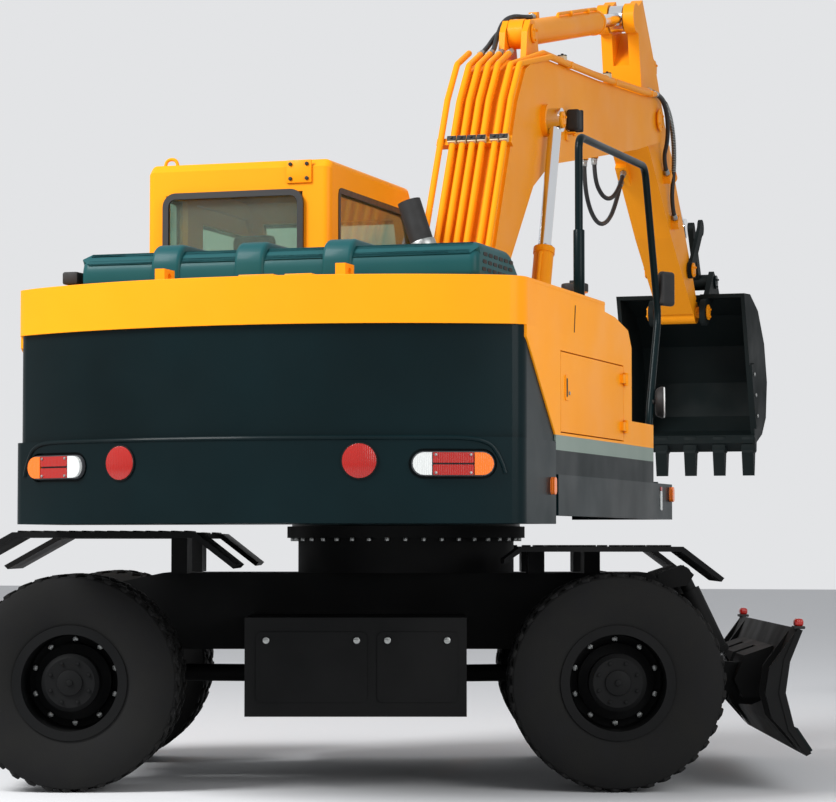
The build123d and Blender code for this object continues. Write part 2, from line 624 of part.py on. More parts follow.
def make_cab_walls():
    right = side(CAB_SIDE, CAB_R - CAB_WALL, CAB_R)
    right = fillet(right.faces().sort_by(Axis.X)[-1].edges(), CAB_ROUND)
    right -= side(RIGHT_WINDOW, CAB_R - 100, CAB_R + 10)
    left = side(CAB_SIDE, CAB_L, CAB_L + CAB_WALL)
    left = fillet(left.faces().sort_by(Axis.X)[0].edges(), CAB_ROUND)
    left -= side(DOOR_HOLE, CAB_L - 10, CAB_L + 100) + side(QUARTER_WINDOW, CAB_L - 10, CAB_L + 100)
    for z in CAB_HINGES:
        left += hinge_frame(CAB_L - HINGE_OUT, DOOR_REAR + 3, z, -1, -1)
    x0, x1 = CAB_L + CAB_WALL, CAB_R - CAB_WALL
    wx0, wx1, wz0, wz1 = REAR_WINDOW
    rear = block(x0, x1, CAB_BACK, CAB_BACK + CAB_WALL, CAB_FLOOR + CAB_WALL, CAB_TOP - 60)
    rear -= block(wx0, wx1, CAB_BACK - 5, CAB_BACK + 100, wz0, wz1)
    roof = side([(700, CAB_TOP), (CAB_BACK + 40, CAB_TOP), (CAB_BACK, CAB_TOP - 40), (CAB_BACK, CAB_TOP - 60),
                 (751, CAB_TOP - 60)], x0, x1)
    front = side([(1122, 1605), (1140, 2150), (800, 3060), (751, CAB_TOP - 60), (685, CAB_TOP - 60),
                  (745, 3035), (1078, 2140), (1060, 1605)], x0, x1)
    front -= block(x0 + 60, x1 - 60, 1000, 1200, *CHIN_WINDOW)
    z0, z1 = BROW_WINDOW
    front -= side([(1200, z0), (1000, z0), (700, z1), (900, z1)], x0 + 60, x1 - 60)
    floor = block(x0, x1, CAB_BACK, 1120, CAB_FLOOR, CAB_FLOOR + CAB_WALL)
    return right, left, rear, roof, front, floor


def make_cab_glass():
    wx0, wx1, wz0, wz1 = REAR_WINDOW
    panes = [block(wx0, wx1, CAB_BACK + 20, CAB_BACK + 30, wz0, wz1)]
    panes.append(side(RIGHT_WINDOW, CAB_R - 30, CAB_R - 20))
    panes.append(side(QUARTER_WINDOW, CAB_L + 20, CAB_L + 30))
    x0, x1 = CAB_L + CAB_WALL + 60, CAB_R - CAB_WALL - 60
    for (low, high), (z0, z1) in zip((CAB_CHIN, CAB_BROW), (CHIN_WINDOW, BROW_WINDOW)):
        slope = (high[0] - low[0]) / (high[1] - low[1])
        y0 = low[0] + (z0 - low[1]) * slope - 21
        y1 = low[0] + (z1 - low[1]) * slope - 21
        panes.append(side([(y0, z0), (y0 - 11, z0), (y1 - 11, z1), (y1, z1)], x0, x1))
    return Compound(children=panes)


def make_cab_door():
    leaf = shrunk(DOOR_HOLE, DOOR_GAP)
    pane = [(60, 2330), (905, 2330), (940, 2400), (735, 2890), (690, 2940), (60, 2940)]
    door = side(leaf, CAB_L, CAB_L + 45) - side(pane, CAB_L - 10, CAB_L + 60)
    for z in CAB_HINGES:
        door += hinge_leaf(CAB_L - HINGE_OUT, DOOR_REAR + 3, z, -1, -1)
    glass = side(pane, CAB_L + 15, CAB_L + 25)
    return door, glass


def make_seat():
    mid = (CAB_L + CAB_R) / 2
    floor = CAB_FLOOR + CAB_WALL
    seat = block(mid - SEAT_HALF + 50, mid + SEAT_HALF - 50, -180, 240, floor, floor + 330)
    seat += block(mid - SEAT_HALF, mid + SEAT_HALF, -220, 320, floor + 330, floor + 460)
    seat += side([(-330, floor + 400), (-210, floor + 400), (-290, 2640), (-390, 2640)], mid - SEAT_HALF + 20,
                 mid + SEAT_HALF - 20)
    seat += side([(-385, 2640), (-300, 2640), (-320, 2830), (-400, 2830)], mid - 130, mid + 130)
    return seat


def make_controls():
    mid = (CAB_L + CAB_R) / 2
    floor = CAB_FLOOR + CAB_WALL
    pieces = []
    for s in (-1, 1):
        c = mid + s * CONSOLE_OUT
        stand = block(c - 70, c + 70, -150, 350, floor, floor + 560)
        stand += rod((c, 290, floor + 540), (c, 310, floor + 760), 16)
        pieces.append(stand)
    foot, top = (mid, 795, floor - 50), (mid, 560, floor + 760)
    column = rod(foot, top, 40) & block(mid - 100, mid + 100, 400, 1000, floor, floor + 900)
    wheel = Plane(origin=top, x_dir=(1, 0, 0), z_dir=(0, top[1] - foot[1], top[2] - foot[2]))
    column += wheel * Torus(180, 15)
    column += wheel * Cylinder(48, 50)
    for turn in (90, 210, 330):
        column += wheel * Rot(0, 0, turn) * Pos(100, 0, 0) * Box(170, 26, 16)
    pieces.append(column)
    return Compound(children=pieces)


# Boom, arm and bucket

BOOM_TOP = [(175, 1960), (690, 2835), (1125, 3690), (1300, 3910), (1520, 4005), (1765, 4038), (2925, 4100),
            (4120, 4185), (4580, 4236)]
BOOM_BELLY = [(4640, 3936), (3985, 3802), (2930, 3617), (1825, 3428), (1460, 3255), (965, 2765), (450, 1850)]


def make_boom():
    shape = BOOM_TOP + BOOM_BELLY
    x0, x1 = BOOM_X - BOOM_HALF, BOOM_X + BOOM_HALF
    boom = side(shape, x0, x1)
    boom += cross_pin(x0, x1, FOOT, 150) + cross_pin(x0, x1, NOSE, 152)
    hollow = shrunk(shape, PLATE)
    core = side(hollow, x0 + PLATE, x1 - PLATE) & block(-1000, 1000, 600, 3690, 0, 9000)
    boom -= core
    slot = [(3950, 3000), (5200, 3000), (5200, 4600), (3730, 4600), (3730, 4075), (3950, 4075)]
    boom -= side(slot, BOOM_X - CHEEK_IN, BOOM_X + CHEEK_IN)
    for y, z in ((3916, 3740), (4180, 3785)):
        boom += block(x0, x0 + 42, y - 30, y + 30, z, z + 90)
    boom -= cross_pin(x0 - 9, x1 + 9, FOOT, 50 + PIN_GAP)
    boom += cross_pin(x0 - 12, x1 + 12, NOSE, 55)
    for s in (-1, 1):
        b0, b1 = sorted((BOOM_X + s * (BOOM_HALF - 20), BOOM_X + s * (LIFT_X - 38.5)))
        boom += cross_pin(b0, b1, LIFT_EYE, 95)
    for off in (-85, 50):
        e0 = BOOM_X + off
        ear = [(1640, 4010), (1950, 4040), (1885, 4225), (1830, 4290), (1745, 4280), (1675, 4200)]
        boom += side(ear, e0, e0 + 35)
    boom += cross_pin(BOOM_X - 88, BOOM_X + 88, ARM_BASE, 42)
    return boom


def offset_line(points, d):
    """A polyline moved sideways by d, to the left of its run."""
    moved = []
    for i, p in enumerate(points):
        a = points[max(i - 1, 0)]
        b = points[min(i + 1, len(points) - 1)]
        length = hypot(b[0] - a[0], b[1] - a[1])
        moved.append((p[0] - (b[1] - a[1]) / length * d, p[1] + (b[0] - a[0]) / length * d))
    return moved


PIPE_LOW = [(450, 2430), (690, 2835), (1125, 3690), (1300, 3910), (1520, 4005)]
PIPE_HIGH = [(1765, 4038), (2925, 4100), (4120, 4185), (4430, 4219)]
PIPE_REACH = 42.0


def make_boom_pipes():
    """Oil pipes up the back of the boom; the last two run on along its right edge to the nose."""
    joined = None
    for x, reach in ((-218, 54), (-150, PIPE_REACH), (-92, PIPE_REACH), (-34, PIPE_REACH), (24, PIPE_REACH)):
        run = [(BOOM_X + x, y, z) for y, z in offset_line(PIPE_LOW, reach)]
        pipe = tube_path(run, 18, 60)
        joined = pipe if joined is None else joined + pipe
    for x, x_far, sink in ((100, 156, 0), (154, 202, 26)):
        low = [(BOOM_X + x, y, z) for y, z in offset_line(PIPE_LOW[:4], PIPE_REACH)]
        high = [(BOOM_X + x_far, y, z - sink) for y, z in offset_line(PIPE_HIGH, PIPE_REACH)]
        joined += tube_path(low + high, 18, 60)
    for y, z, turn in ((580, 2648, 61), (1000, 3444, 63)):
        joined += Pos(BOOM_X - 25, y, z) * Rot(turn, 0, 0) * Pos(0, 0, 20) * Box(440, 44, 44)
    for y, z, turn in ((2200, 4061, 3), (3300, 4127, 4), (4300, 4205, 6)):
        joined += Pos(BOOM_X + 178, y, z) * Rot(turn, 0, 0) * Pos(0, 0, 14) * Box(88, 40, 40)
    return joined - side(BOOM_TOP + BOOM_BELLY, BOOM_X - BOOM_HALF, BOOM_X + BOOM_HALF)


def yz_cylinder(base, eye, x, r_barrel, r_rod, share, start, eye_r, pin_r, half):
    """Barrel to share and rod from start, along a cylinder in the boom's plane at width x."""
    length = hypot(eye[0] - base[0], eye[1] - base[1])
    uy, uz = (eye[0] - base[0]) / length, (eye[1] - base[1]) / length

    def at(t):
        return (x, base[0] + uy * t, base[1] + uz * t)

    neck = eye_r + 40
    barrel = rod(at(neck), at(share), r_barrel) + rod(at(0), at(neck + 5), half - 4)
    barrel += cross_pin(x - half, x + half, base, eye_r)
    barrel -= cross_pin(x - half - 1, x + half + 1, base, pin_r + PIN_GAP)
    barrel -= rod(at(neck + 10), at(share + 1), r_rod + 6)
    barrel += rod(at(share - 36), at(share), r_barrel + 5, r_rod + PIN_GAP)
    stick = rod(at(start), at(length), r_rod) + cross_pin(x - half, x + half, eye, eye_r)
    return barrel, stick


def make_lift_cylinders():
    barrels, rods = [], []
    for s in (-1, 1):
        barrel, stick = yz_cylinder(LIFT_BASE, LIFT_EYE, BOOM_X + s * LIFT_X, 57, 38, 1300, 786, 70, 36, 38)
        barrels.append(barrel)
        rods.append(stick)
    return Compound(children=barrels), Compound(children=rods)


def on_barrel(t, n):
    """A (Y, Z) place along the arm cylinder from its base pin and above its axis."""
    length = hypot(HORN[0] - ARM_BASE[0], HORN[1] - ARM_BASE[1])
    uy, uz = (HORN[0] - ARM_BASE[0]) / length, (HORN[1] - ARM_BASE[1]) / length
    return (ARM_BASE[0] + uy * t - uz * n, ARM_BASE[1] + uz * t + uy * n)


def make_arm_cylinder():
    barrel, stick = yz_cylinder(ARM_BASE, HORN, BOOM_X, 78, 45, 1824, 712, 88, 42, 45)
    for x0, x1, t, n0, n1 in ((-10, 45, 640, -24, 24), (45, 95, 480, 62, 114)):
        port = [on_barrel(t, n0), on_barrel(t + 60, n0), on_barrel(t + 60, n1), on_barrel(t, n1)]
        solid = side(port, x0, x1)
        barrel += solid - rod((BOOM_X, *on_barrel(300, 0)), (BOOM_X, *on_barrel(900, 0)), 70)
    return barrel, stick


# Hoses; each is a list of places from the boom's pipes or brackets to the piece that it feeds

HOSE_R = 15.0


def pipe_exit(run, x, first, sink=0):
    """The end of a boom pipe, and the next place straight on from it."""
    a, b = offset_line(run, PIPE_REACH)[-2:]
    length = hypot(b[0] - a[0], b[1] - a[1])
    step = first / length
    return [(x, b[0], b[1] - sink), (x, b[0] + (b[0] - a[0]) * step, b[1] + (b[1] - a[1]) * step - sink)]


def arm_hose_routes():
    left = pipe_exit(PIPE_LOW, -40, 150) + [(-32, 1780, 4200), (-18, 1930, 4275), (0, 2100, 4300)]
    left += [(12, *on_barrel(490, 0)), (12, *on_barrel(640, 0))]
    right = pipe_exit(PIPE_LOW, 18, 80) + [(4, 1660, 4130), (-2, 1750, 4215), (0, 1850, 4300)]
    right += [(25, 1970, 4350), (70, *on_barrel(330, 88)), (70, *on_barrel(480, 88))]
    return [left, right]


def nose_hose_routes():
    long_loop = [(-49, 3916, 3740), (-49, 3916, 3580), (-38, 4015, 3410), (-24, 4220, 3330), (-8, 4440, 3395)]
    long_loop += [(5, *on_arm(340, -400)), (5, *on_arm(340, -230))]
    short_loop = [(-49, 4180, 3785), (-49, 4180, 3645), (-22, 4285, 3535), (8, 4425, 3530)]
    short_loop += [(38, *on_arm(255, -370)), (38, *on_arm(255, -230))]
    outer = pipe_exit(PIPE_HIGH, 266, 170) + [(282, 4800, 4262), (296, 4950, 4160), (300, 5045, 4000)]
    outer += [(290, 5090, 3800), (265, *on_arm(710, -60)), (265, *on_arm(870, -60))]
    inner = pipe_exit(PIPE_HIGH, 312, 140, 26) + [(330, 4675, 4180), (330, 4735, 4060), (310, 4795, 3950)]
    inner += [(265, *on_arm(350, 0)), (265, *on_arm(500, 0))]
    return [long_loop, short_loop, outer, inner]


def make_hoses(routes):
    """Tubes with bends as wide as their runs allow."""
    hoses = []
    for points in routes:
        bends = []
        for a, b, c in zip(points, points[1:], points[2:]):
            first, second = Vector(*b) - Vector(*a), Vector(*c) - Vector(*b)
            turn = radians(first.get_angle(second))
            bends.append(0.45 * min(first.length, second.length) / tan(turn / 2))
        path = FilletPolyline(*points, radius=bends)
        hose = sweep(Plane(origin=path @ 0, z_dir=path % 0) * Circle(HOSE_R), path=path)
        share = hose.volume / (pi * HOSE_R ** 2 * path.length)
        print("hose", round(path.length), "mm, bends from", round(min(bends)), "mm, volume", round(share, 3))
        hoses.append(hose)
    return Compound(children=hoses)


def make_boom_lamp():
    x = BOOM_X + BOOM_HALF
    return block(x + 10, x + 90, 2150, 2260, 3675, 3805) + block(x, x + 60, 2170, 2240, 3650, 3676)


def make_curl_cylinder():
    return yz_cylinder(CURL_BASE, LINK_PIN, BOOM_X, 62, 36, 1060, 404, 72, 38, 42)


ARM_SHAPE = [(-745, 290), (-160, -160), (0, -190), (950, -165), (1790, -80), (1790, 80), (1530, 128),
             (300, 300), (-80, 380), (-680, 452)]


def make_arm():
    shape = [on_arm(u, v) for u, v in ARM_SHAPE]
    x0, x1 = BOOM_X - ARM_HALF, BOOM_X + ARM_HALF
    arm = side(shape, x0, x1)
    core = side(shrunk(shape, PLATE), x0 + PLATE, x1 - PLATE)
    core &= side([on_arm(250, -600), on_arm(1400, -600), on_arm(1400, 900), on_arm(250, 900)], -500, 500)
    arm -= core
    arm += cross_pin(x0, x1, NOSE, 150) + cross_pin(x0, x1, TIP, 80) + cross_pin(x0, x1, HORN, 100)
    arm -= cross_pin(x0 - 9, x1 + 9, NOSE, 55 + PIN_GAP)
    notch = [on_arm(u, v) for u, v in ((-1000, 60), (-430, 60), (-430, 700), (-1000, 700))]
    arm -= side(notch, BOOM_X - 55, BOOM_X + 55)
    for off in (-85, 50):
        e0 = BOOM_X + off
        ear = [on_arm(u, v) for u, v in ((-190, 370), (55, 335), (5, 500), (-60, 560), (-150, 510))]
        arm += side(ear, e0, e0 + 35)
    arm += cross_pin(BOOM_X - 90, BOOM_X + 90, CURL_BASE, 38)
    arm += cross_pin(BOOM_X - 166, BOOM_X + 166, ROCKER_PIN, 38)
    arm += cross_pin(BOOM_X - 214, BOOM_X + 214, TIP, 40)
    arm += on_arm_block(-16, 60, 215, 385, -230, -165)
    arm += on_arm_block(x1 - 5, x1 + 50, 500, 550, -40, 40)
    arm += on_arm_block(x1 - 5, x1 + 50, 870, 930, -100, -20)
    return arm


def on_arm_block(x0, x1, u0, u1, v0, v1):
    return side([on_arm(u0, v0), on_arm(u1, v0), on_arm(u1, v1), on_arm(u0, v1)], x0, x1)


def bar_between(p, q, width, x0, x1, extra=0.0):
    length = hypot(q[0] - p[0], q[1] - p[1])
    uy, uz = (q[0] - p[0]) / length, (q[1] - p[1]) / length
    ny, nz = -uz * width, uy * width
    shape = [(p[0] + ny, p[1] + nz), (q[0] + ny, q[1] + nz), (q[0] - ny, q[1] - nz), (p[0] - ny, p[1] - nz)]
    return side(shape, x0, x1) + cross_pin(x0, x1, p, width + extra) + cross_pin(x0, x1, q, width + extra)


def make_rocker():
    plates = []
    for s in (-1, 1):
        x0, x1 = sorted((BOOM_X + s * 137, BOOM_X + s * 162))
        plate = bar_between(ROCKER_PIN, LINK_PIN, 45, x0, x1, 15)
        plate -= cross_pin(x0 - 5, x1 + 5, ROCKER_PIN, 38 + PIN_GAP)
        plates.append(plate)
    return Compound(children=plates)


def make_link():
    body = cross_pin(BOOM_X - 164, BOOM_X + 164, EAR_PIN, 58)
    for s in (-1, 1):
        x0, x1 = sorted((BOOM_X + s * 60, BOOM_X + s * 100))
        body += bar_between(EAR_PIN, LINK_PIN, 42, x0, x1)
    return body - cross_pin(BOOM_X - 170, BOOM_X + 170, EAR_PIN, 36 + PIN_GAP)


BUCKET_SHAPE = [(34, 135), (250, 145), (540, 45), (770, -185), (870, -465), (820, -735), (670, -865),
                (450, -935), (390, -890)]
BUCKET_INSIDE = [(-40, 105), (245, 113), (522, 18), (745, -195), (840, -465), (793, -720), (655, -835),
                 (430, -900), (290, -915)]
BUCKET_EAR = [(-70, -60), (-70, 50), (20, 90), (250, 320), (365, 260), (550, 40), (250, 130), (110, 0)]
BUCKET_LIP = [(455, -940), (370, -880), (330, -940), (420, -1000)]
BUCKET_TOOTH = [(445, -900), (370, -880), (335, -1010), (370, -1178), (395, -1178), (425, -1010)]


def from_tip(points):
    return [(TIP[0] + dy, TIP[1] + dz) for dy, dz in points]


def make_bucket():
    x0, x1 = BOOM_X - BUCKET_HALF, BOOM_X + BUCKET_HALF
    shell = side(from_tip(BUCKET_SHAPE), x0, x1) - side(from_tip(BUCKET_INSIDE), x0 + 28, x1 - 28)
    shell -= block(BOOM_X - 150, BOOM_X + 150, TIP[0] - 100, TIP[0] + BUCKET_NOTCH, TIP[1] + 60, TIP[1] + 300)
    for s in (-1, 1):
        e0, e1 = sorted((BOOM_X + s * 170, BOOM_X + s * 208))
        plate = side(from_tip(BUCKET_EAR), e0, e1) + cross_pin(e0, e1, TIP, 95)
        shell += plate - cross_pin(e0 - 5, e1 + 5, TIP, 40 + PIN_GAP)
    shell += cross_pin(BOOM_X - 210, BOOM_X + 210, EAR_PIN, 36)
    shell += side(from_tip(BUCKET_LIP), x0, x1)
    for k in range(5):
        c = BOOM_X - BUCKET_HALF + 45 + k * (2 * BUCKET_HALF - 90) / 4
        shell += side(from_tip(BUCKET_TOOTH), c - 42, c + 42)
    return shell


def build():
    parts = {}
    parts["chassis_frame"] = make_chassis()
    parts["mudguards"] = make_mudguards()
    parts["rear_axle"] = make_rear_axle()
    parts["front_axle"] = make_front_axle()
    parts["drive_line"] = make_drive_line()
    parts["tie_rod"] = make_tie_rod()
    for name, s in (("left", -1), ("right", 1)):
        parts["knuckle_" + name] = make_knuckle(s)
        parts["front_tyres_" + name] = make_tyres(True, s)
        parts["front_rim_" + name] = make_rim(True, s)
        parts["rear_tyres_" + name] = make_tyres(False, s)
        parts["rear_rim_" + name] = make_rim(False, s)
    parts["blade"] = make_blade()
    parts["blade_barrels"], parts["blade_rods"] = make_blade_cylinders()
    parts["upper_frame"] = make_upper_frame()
    parts["counterweight"] = make_counterweight()
    parts["tail_lamps"] = make_tail_lamps()
    parts["rear_cover"] = make_rear_cover()
    parts["engine_hood"] = make_hood()
    parts["engine_block"] = make_engine_block()
    parts["right_housing"] = make_right_housing()
    parts["left_housing"] = make_left_housing()
    parts["right_service_door"] = make_service_door(1, -87)
    parts["left_service_door"] = make_service_door(-1, -640)
    parts["handrail"] = make_handrail()
    parts["exhaust"] = make_exhaust()
    parts["fuel_filler"] = make_fuel_filler()
    walls = make_cab_walls()
    for name, shape in zip(("right_wall", "left_wall", "rear_wall", "roof", "front_frame", "floor"), walls):
        parts["cab_" + name] = shape
    parts["cab_glass"] = make_cab_glass()
    parts["cab_door"], parts["door_glass"] = make_cab_door()
    parts["operator_seat"] = make_seat()
    parts["cab_controls"] = make_controls()
    parts["boom"] = make_boom()
    parts["boom_pipes"] = make_boom_pipes()
    parts["boom_lamp"] = make_boom_lamp()
    parts["arm_hoses"] = make_hoses(arm_hose_routes())
    parts["nose_hoses"] = make_hoses(nose_hose_routes())
    parts["lift_barrels"], parts["lift_rods"] = make_lift_cylinders()
    parts["arm_barrel"], parts["arm_rod"] = make_arm_cylinder()
    parts["arm"] = make_arm()
    parts["curl_barrel"], parts["curl_rod"] = make_curl_cylinder()
    parts["rocker"] = make_rocker()
    parts["bucket_link"] = make_link()
    parts["bucket"] = make_bucket()
    return parts


def main():
    os.makedirs("parts", exist_ok=True)
    move = Pos(SHIFT[0], SHIFT[1], 0)
    for name, shape in build().items():
        export_step(move * shape, "parts/" + name + ".step")


if __name__ == "__main__":
    main()
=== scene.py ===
# %% [markdown]
# # A wheeled excavator, dressed around its solids
# The solids of the machine come in as a fixed frame: every piece is already at its place and in its real
# size. This lesson gives them their paints, and adds what a painter, an electrician and a hydraulic fitter
# would add at the end of the line: lamps, seals, hoses, clamps, nuts and tread.

# %% Load the frame
import json
from math import atan2, cos, pi, radians, sin, sqrt

import bpy
from mathutils import Euler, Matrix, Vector


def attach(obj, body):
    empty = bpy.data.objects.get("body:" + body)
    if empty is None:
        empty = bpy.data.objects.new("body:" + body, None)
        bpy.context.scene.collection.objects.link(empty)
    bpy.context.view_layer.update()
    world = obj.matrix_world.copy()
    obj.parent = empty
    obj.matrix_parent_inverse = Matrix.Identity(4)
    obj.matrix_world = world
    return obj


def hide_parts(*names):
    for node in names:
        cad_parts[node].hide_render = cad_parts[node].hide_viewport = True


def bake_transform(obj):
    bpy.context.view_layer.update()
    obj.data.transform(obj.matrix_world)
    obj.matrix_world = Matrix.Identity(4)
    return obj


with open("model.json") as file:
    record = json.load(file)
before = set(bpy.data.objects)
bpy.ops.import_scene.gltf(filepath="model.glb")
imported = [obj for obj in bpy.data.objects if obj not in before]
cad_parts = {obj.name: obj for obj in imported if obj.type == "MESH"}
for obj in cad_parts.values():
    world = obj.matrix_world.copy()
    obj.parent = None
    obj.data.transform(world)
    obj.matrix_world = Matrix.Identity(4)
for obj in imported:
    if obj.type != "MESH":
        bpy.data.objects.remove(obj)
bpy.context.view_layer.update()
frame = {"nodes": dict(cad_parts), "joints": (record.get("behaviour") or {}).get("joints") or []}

# %% [markdown]
# ## Two sets of coordinates
# The machine's drawings count in millimetres from the ground under the slew axis, with x to the operator's
# right and y along the boom. The undercarriage has its own axes, turned by the angle at which the upper
# structure was parked. Two small functions turn such a place into the frame's metres, and the slew joint of
# the frame itself says where the axis stands, so nothing is measured twice.

# %% Places
MM = 0.001
SLEW_REST = 18.0
SLEW = next(joint for joint in frame["joints"] if joint["name"] == "slew")
AXIS_X, AXIS_Y = SLEW["pos_m"][:2]


def spot(x, y, z):
    """A place on the upper structure, in machine millimetres, as a point of the frame."""
    return Vector((AXIS_X + x * MM, AXIS_Y + y * MM, z * MM))


def under(x, y, z):
    """A place on the undercarriage, x towards the blade and y across, as a point of the frame."""
    a = radians(SLEW_REST)
    return spot(x * cos(a) - y * sin(a), x * sin(a) + y * cos(a), z)


print("slew axis at", round(AXIS_X, 3), round(AXIS_Y, 3))

# %% [markdown]
# ## Colours and shader nodes
# Colours are written as the hex values that a paint card would give, and one function makes them linear for
# the shader. One more function adds a shader node, sets it and links it, so that each finish below reads as
# a short list of what it is made of.

# %% Colour and node helpers
def colour(hex_value):
    """An sRGB hex colour as linear RGBA."""
    parts = [int(hex_value[i:i + 2], 16) / 255 for i in (1, 3, 5)]
    return [c / 12.92 if c <= 0.04045 else ((c + 0.055) / 1.055) ** 2.4 for c in parts] + [1.0]


def add(tree, kind, sockets=None, **settings):
    """A shader node with its settings, its socket values and its links."""
    made = tree.nodes.new(kind)
    for key, value in settings.items():
        setattr(made, key, value)
    for key, value in (sockets or {}).items():
        if isinstance(value, bpy.types.NodeSocket):
            tree.links.new(value, made.inputs[key])
        else:
            made.inputs[key].default_value = value
    return made


def shaded(name, sockets):
    """A material of one principled shader; returns the material, its tree and the shader."""
    material = bpy.data.materials.new(name)
    material.use_nodes = True
    tree = material.node_tree
    tree.nodes.clear()
    shader = add(tree, "ShaderNodeBsdfPrincipled", sockets)
    add(tree, "ShaderNodeOutputMaterial", {"Surface": shader.outputs["BSDF"]})
    return material, tree, shader


print("middle grey #808080 is", round(colour("#808080")[0], 3), "in linear light")

# %% [markdown]
# ## What moves over a surface
# No real surface is the same all over, so each finish below gets some of four things: noise in soft patches,
# even ridges, a roughness or a colour that follows one of them, and a relief of its height. All of them read the
# piece's own coordinates and are given in real millimetres. A noise texture hardly ever leaves the middle of its
# range, so that middle is what gets stretched over a roughness or a colour.

# %% Surface helpers
NOISE_LOW, NOISE_HIGH = 0.3, 0.7


def patches(tree, size, detail=3.0):
    """Noise in soft patches of about that many millimetres."""
    place = add(tree, "ShaderNodeTexCoord")
    noise = add(tree, "ShaderNodeTexNoise", {"Vector": place.outputs["Object"], "Scale": 1 / (size * MM),
                                             "Detail": detail})
    return noise.outputs["Fac"]


def ridges(tree, pitch, axis):
    """Even ridges across an axis, one to each pitch."""
    place = add(tree, "ShaderNodeTexCoord")
    wave = add(tree, "ShaderNodeTexWave", {"Vector": place.outputs["Object"], "Scale": pi / 10 / (pitch * MM)},
               bands_direction=axis)
    return wave.outputs["Fac"]


def roughened(tree, shader, amount, low, high):
    """Lets the roughness follow an amount, from low to high."""
    spread = add(tree, "ShaderNodeMapRange", {"Value": amount, "From Min": NOISE_LOW, "From Max": NOISE_HIGH,
                                              "To Min": low, "To Max": high})
    tree.links.new(spread.outputs["Result"], shader.inputs["Roughness"])


def tinted(tree, shader, amount, first, second):
    """Lets the colour follow an amount, from the first to the second."""
    ramp = add(tree, "ShaderNodeValToRGB", {"Fac": amount})
    ends = ramp.color_ramp.elements
    ends[0].position, ends[0].color = NOISE_LOW, colour(first)
    ends[1].position, ends[1].color = NOISE_HIGH, colour(second)
    tree.links.new(ramp.outputs["Color"], shader.inputs["Base Color"])


def raised(tree, shader, height, depth):
    """Gives the surface a relief of that many millimetres."""
    relief = add(tree, "ShaderNodeBump", {"Height": height, "Distance": depth * MM})
    tree.links.new(relief.outputs["Normal"], shader.inputs["Normal"])


print("surface helpers ready")

# %% [markdown]
# ## Enamel on plate
# The upper structure wears baked enamel, sprayed over welded plate: an even colour with a clear gloss and a
# faint unevenness that only shows where a light is reflected. Patches of about 350 mm move the roughness a
# little, so that wide panels do not look like plastic, and a shallow ripple of 90 mm is the plate's own. The
# studio's light comes from all sides and would wash the colours out, so the shine is set below that of real
# enamel. The lower sides carry a stripe, so the side paint picks its colour from the height of the point.

# %% Paints
ORANGE, GREEN, STRIPE = "#F59A12", "#071315", "#7D8B82"
STRIPE_LOW, STRIPE_HIGH = 1630, 1697
RAMP_LOW, RAMP_HIGH = 1000, 3000
GLOSS_PATCH, FADED_PATCH, PLATE_RIPPLE, RIPPLE_DEPTH = 350, 800, 90, 0.15
COAT_ROUGHNESS = 0.14


def enamel(name, low=0.4, high=0.54, hex_value=None, worn=None, coat=0.04, shine=0.1):
    """Sprayed paint; worn is the colour that its dusty patches fade to."""
    values = {"Coat Weight": coat, "Coat Roughness": COAT_ROUGHNESS, "Specular IOR Level": shine}
    material, tree, shader = shaded(name, values)
    roughened(tree, shader, patches(tree, GLOSS_PATCH), low, high)
    raised(tree, shader, patches(tree, PLATE_RIPPLE, 1.0), RIPPLE_DEPTH)
    if hex_value:
        tinted(tree, shader, patches(tree, FADED_PATCH), hex_value, worn or hex_value)
    return material, tree, shader


def striped_enamel():
    """Orange above a grey stripe, green below it."""
    material, tree, shader = enamel("striped_enamel")
    place = add(tree, "ShaderNodeTexCoord")
    split = add(tree, "ShaderNodeSeparateXYZ", {"Vector": place.outputs["Object"]})
    height = add(tree, "ShaderNodeMapRange", {"Value": split.outputs["Z"], "From Min": RAMP_LOW * MM,
                                              "From Max": RAMP_HIGH * MM})
    ramp = add(tree, "ShaderNodeValToRGB", {"Fac": height.outputs["Result"]})
    ramp.color_ramp.interpolation = "CONSTANT"
    bands = ramp.color_ramp.elements
    bands[0].color = colour(GREEN)
    low, high = [(z - RAMP_LOW) / (RAMP_HIGH - RAMP_LOW) for z in (STRIPE_LOW, STRIPE_HIGH)]
    bands[1].position, bands[1].color = low, colour(STRIPE)
    bands.new(high).color = colour(ORANGE)
    tree.links.new(ramp.outputs["Color"], shader.inputs["Base Color"])
    return material


# A warm even gloss; the patches keep a wide wall from reading as a flat cut-out.
orange = enamel("orange_enamel", hex_value=ORANGE, worn="#EF9310")[0]
# Nearly black with a green cast; a weak gloss keeps the studio's light from turning it grey.
green = enamel("dark_green_enamel", 0.28, 0.4, GREEN, "#091A1D", 0.06, 0.06)[0]
# The hood's green is painted a shade lighter than the weight's, as painted light from above on its top faces; it
# is also duller.
painted_lit_hood_green = enamel("green_hood_enamel", 0.42, 0.55, "#0E464B", "#164C4F", 0.05, 0.14)[0]
striped = striped_enamel()
# Dull and dusty, so the running gear sits back behind the bright upper structure.
black = enamel("black_chassis_paint", 0.55, 0.75, "#0B0C0D", "#141414", 0.0, 0.12)[0]
# Scraped by soil: the sheen is gone and the edges of the patches are brown-grey.
digging = enamel("worn_bucket_enamel", 0.55, 0.8, "#0A1415", "#171C1C", 0.0, 0.12)[0]
print("paints", orange.name, green.name, striped.name, black.name, digging.name)

# %% [markdown]
# ## Everything that is not paint
# Tyre rubber is dull and slightly grey with a fine pebble. Piston rods are hard chrome, ground and polished.
# Zinc plating shows its crystals, cast iron its sand skin and moulded plastic its leather grain. Lenses are
# moulded acrylic with upright ribs that spread the light, and the cab's panes are tinted safety glass with
# wiped smears. The seat is woven fabric, with threads drawn 7 mm wide so that they show at this distance.

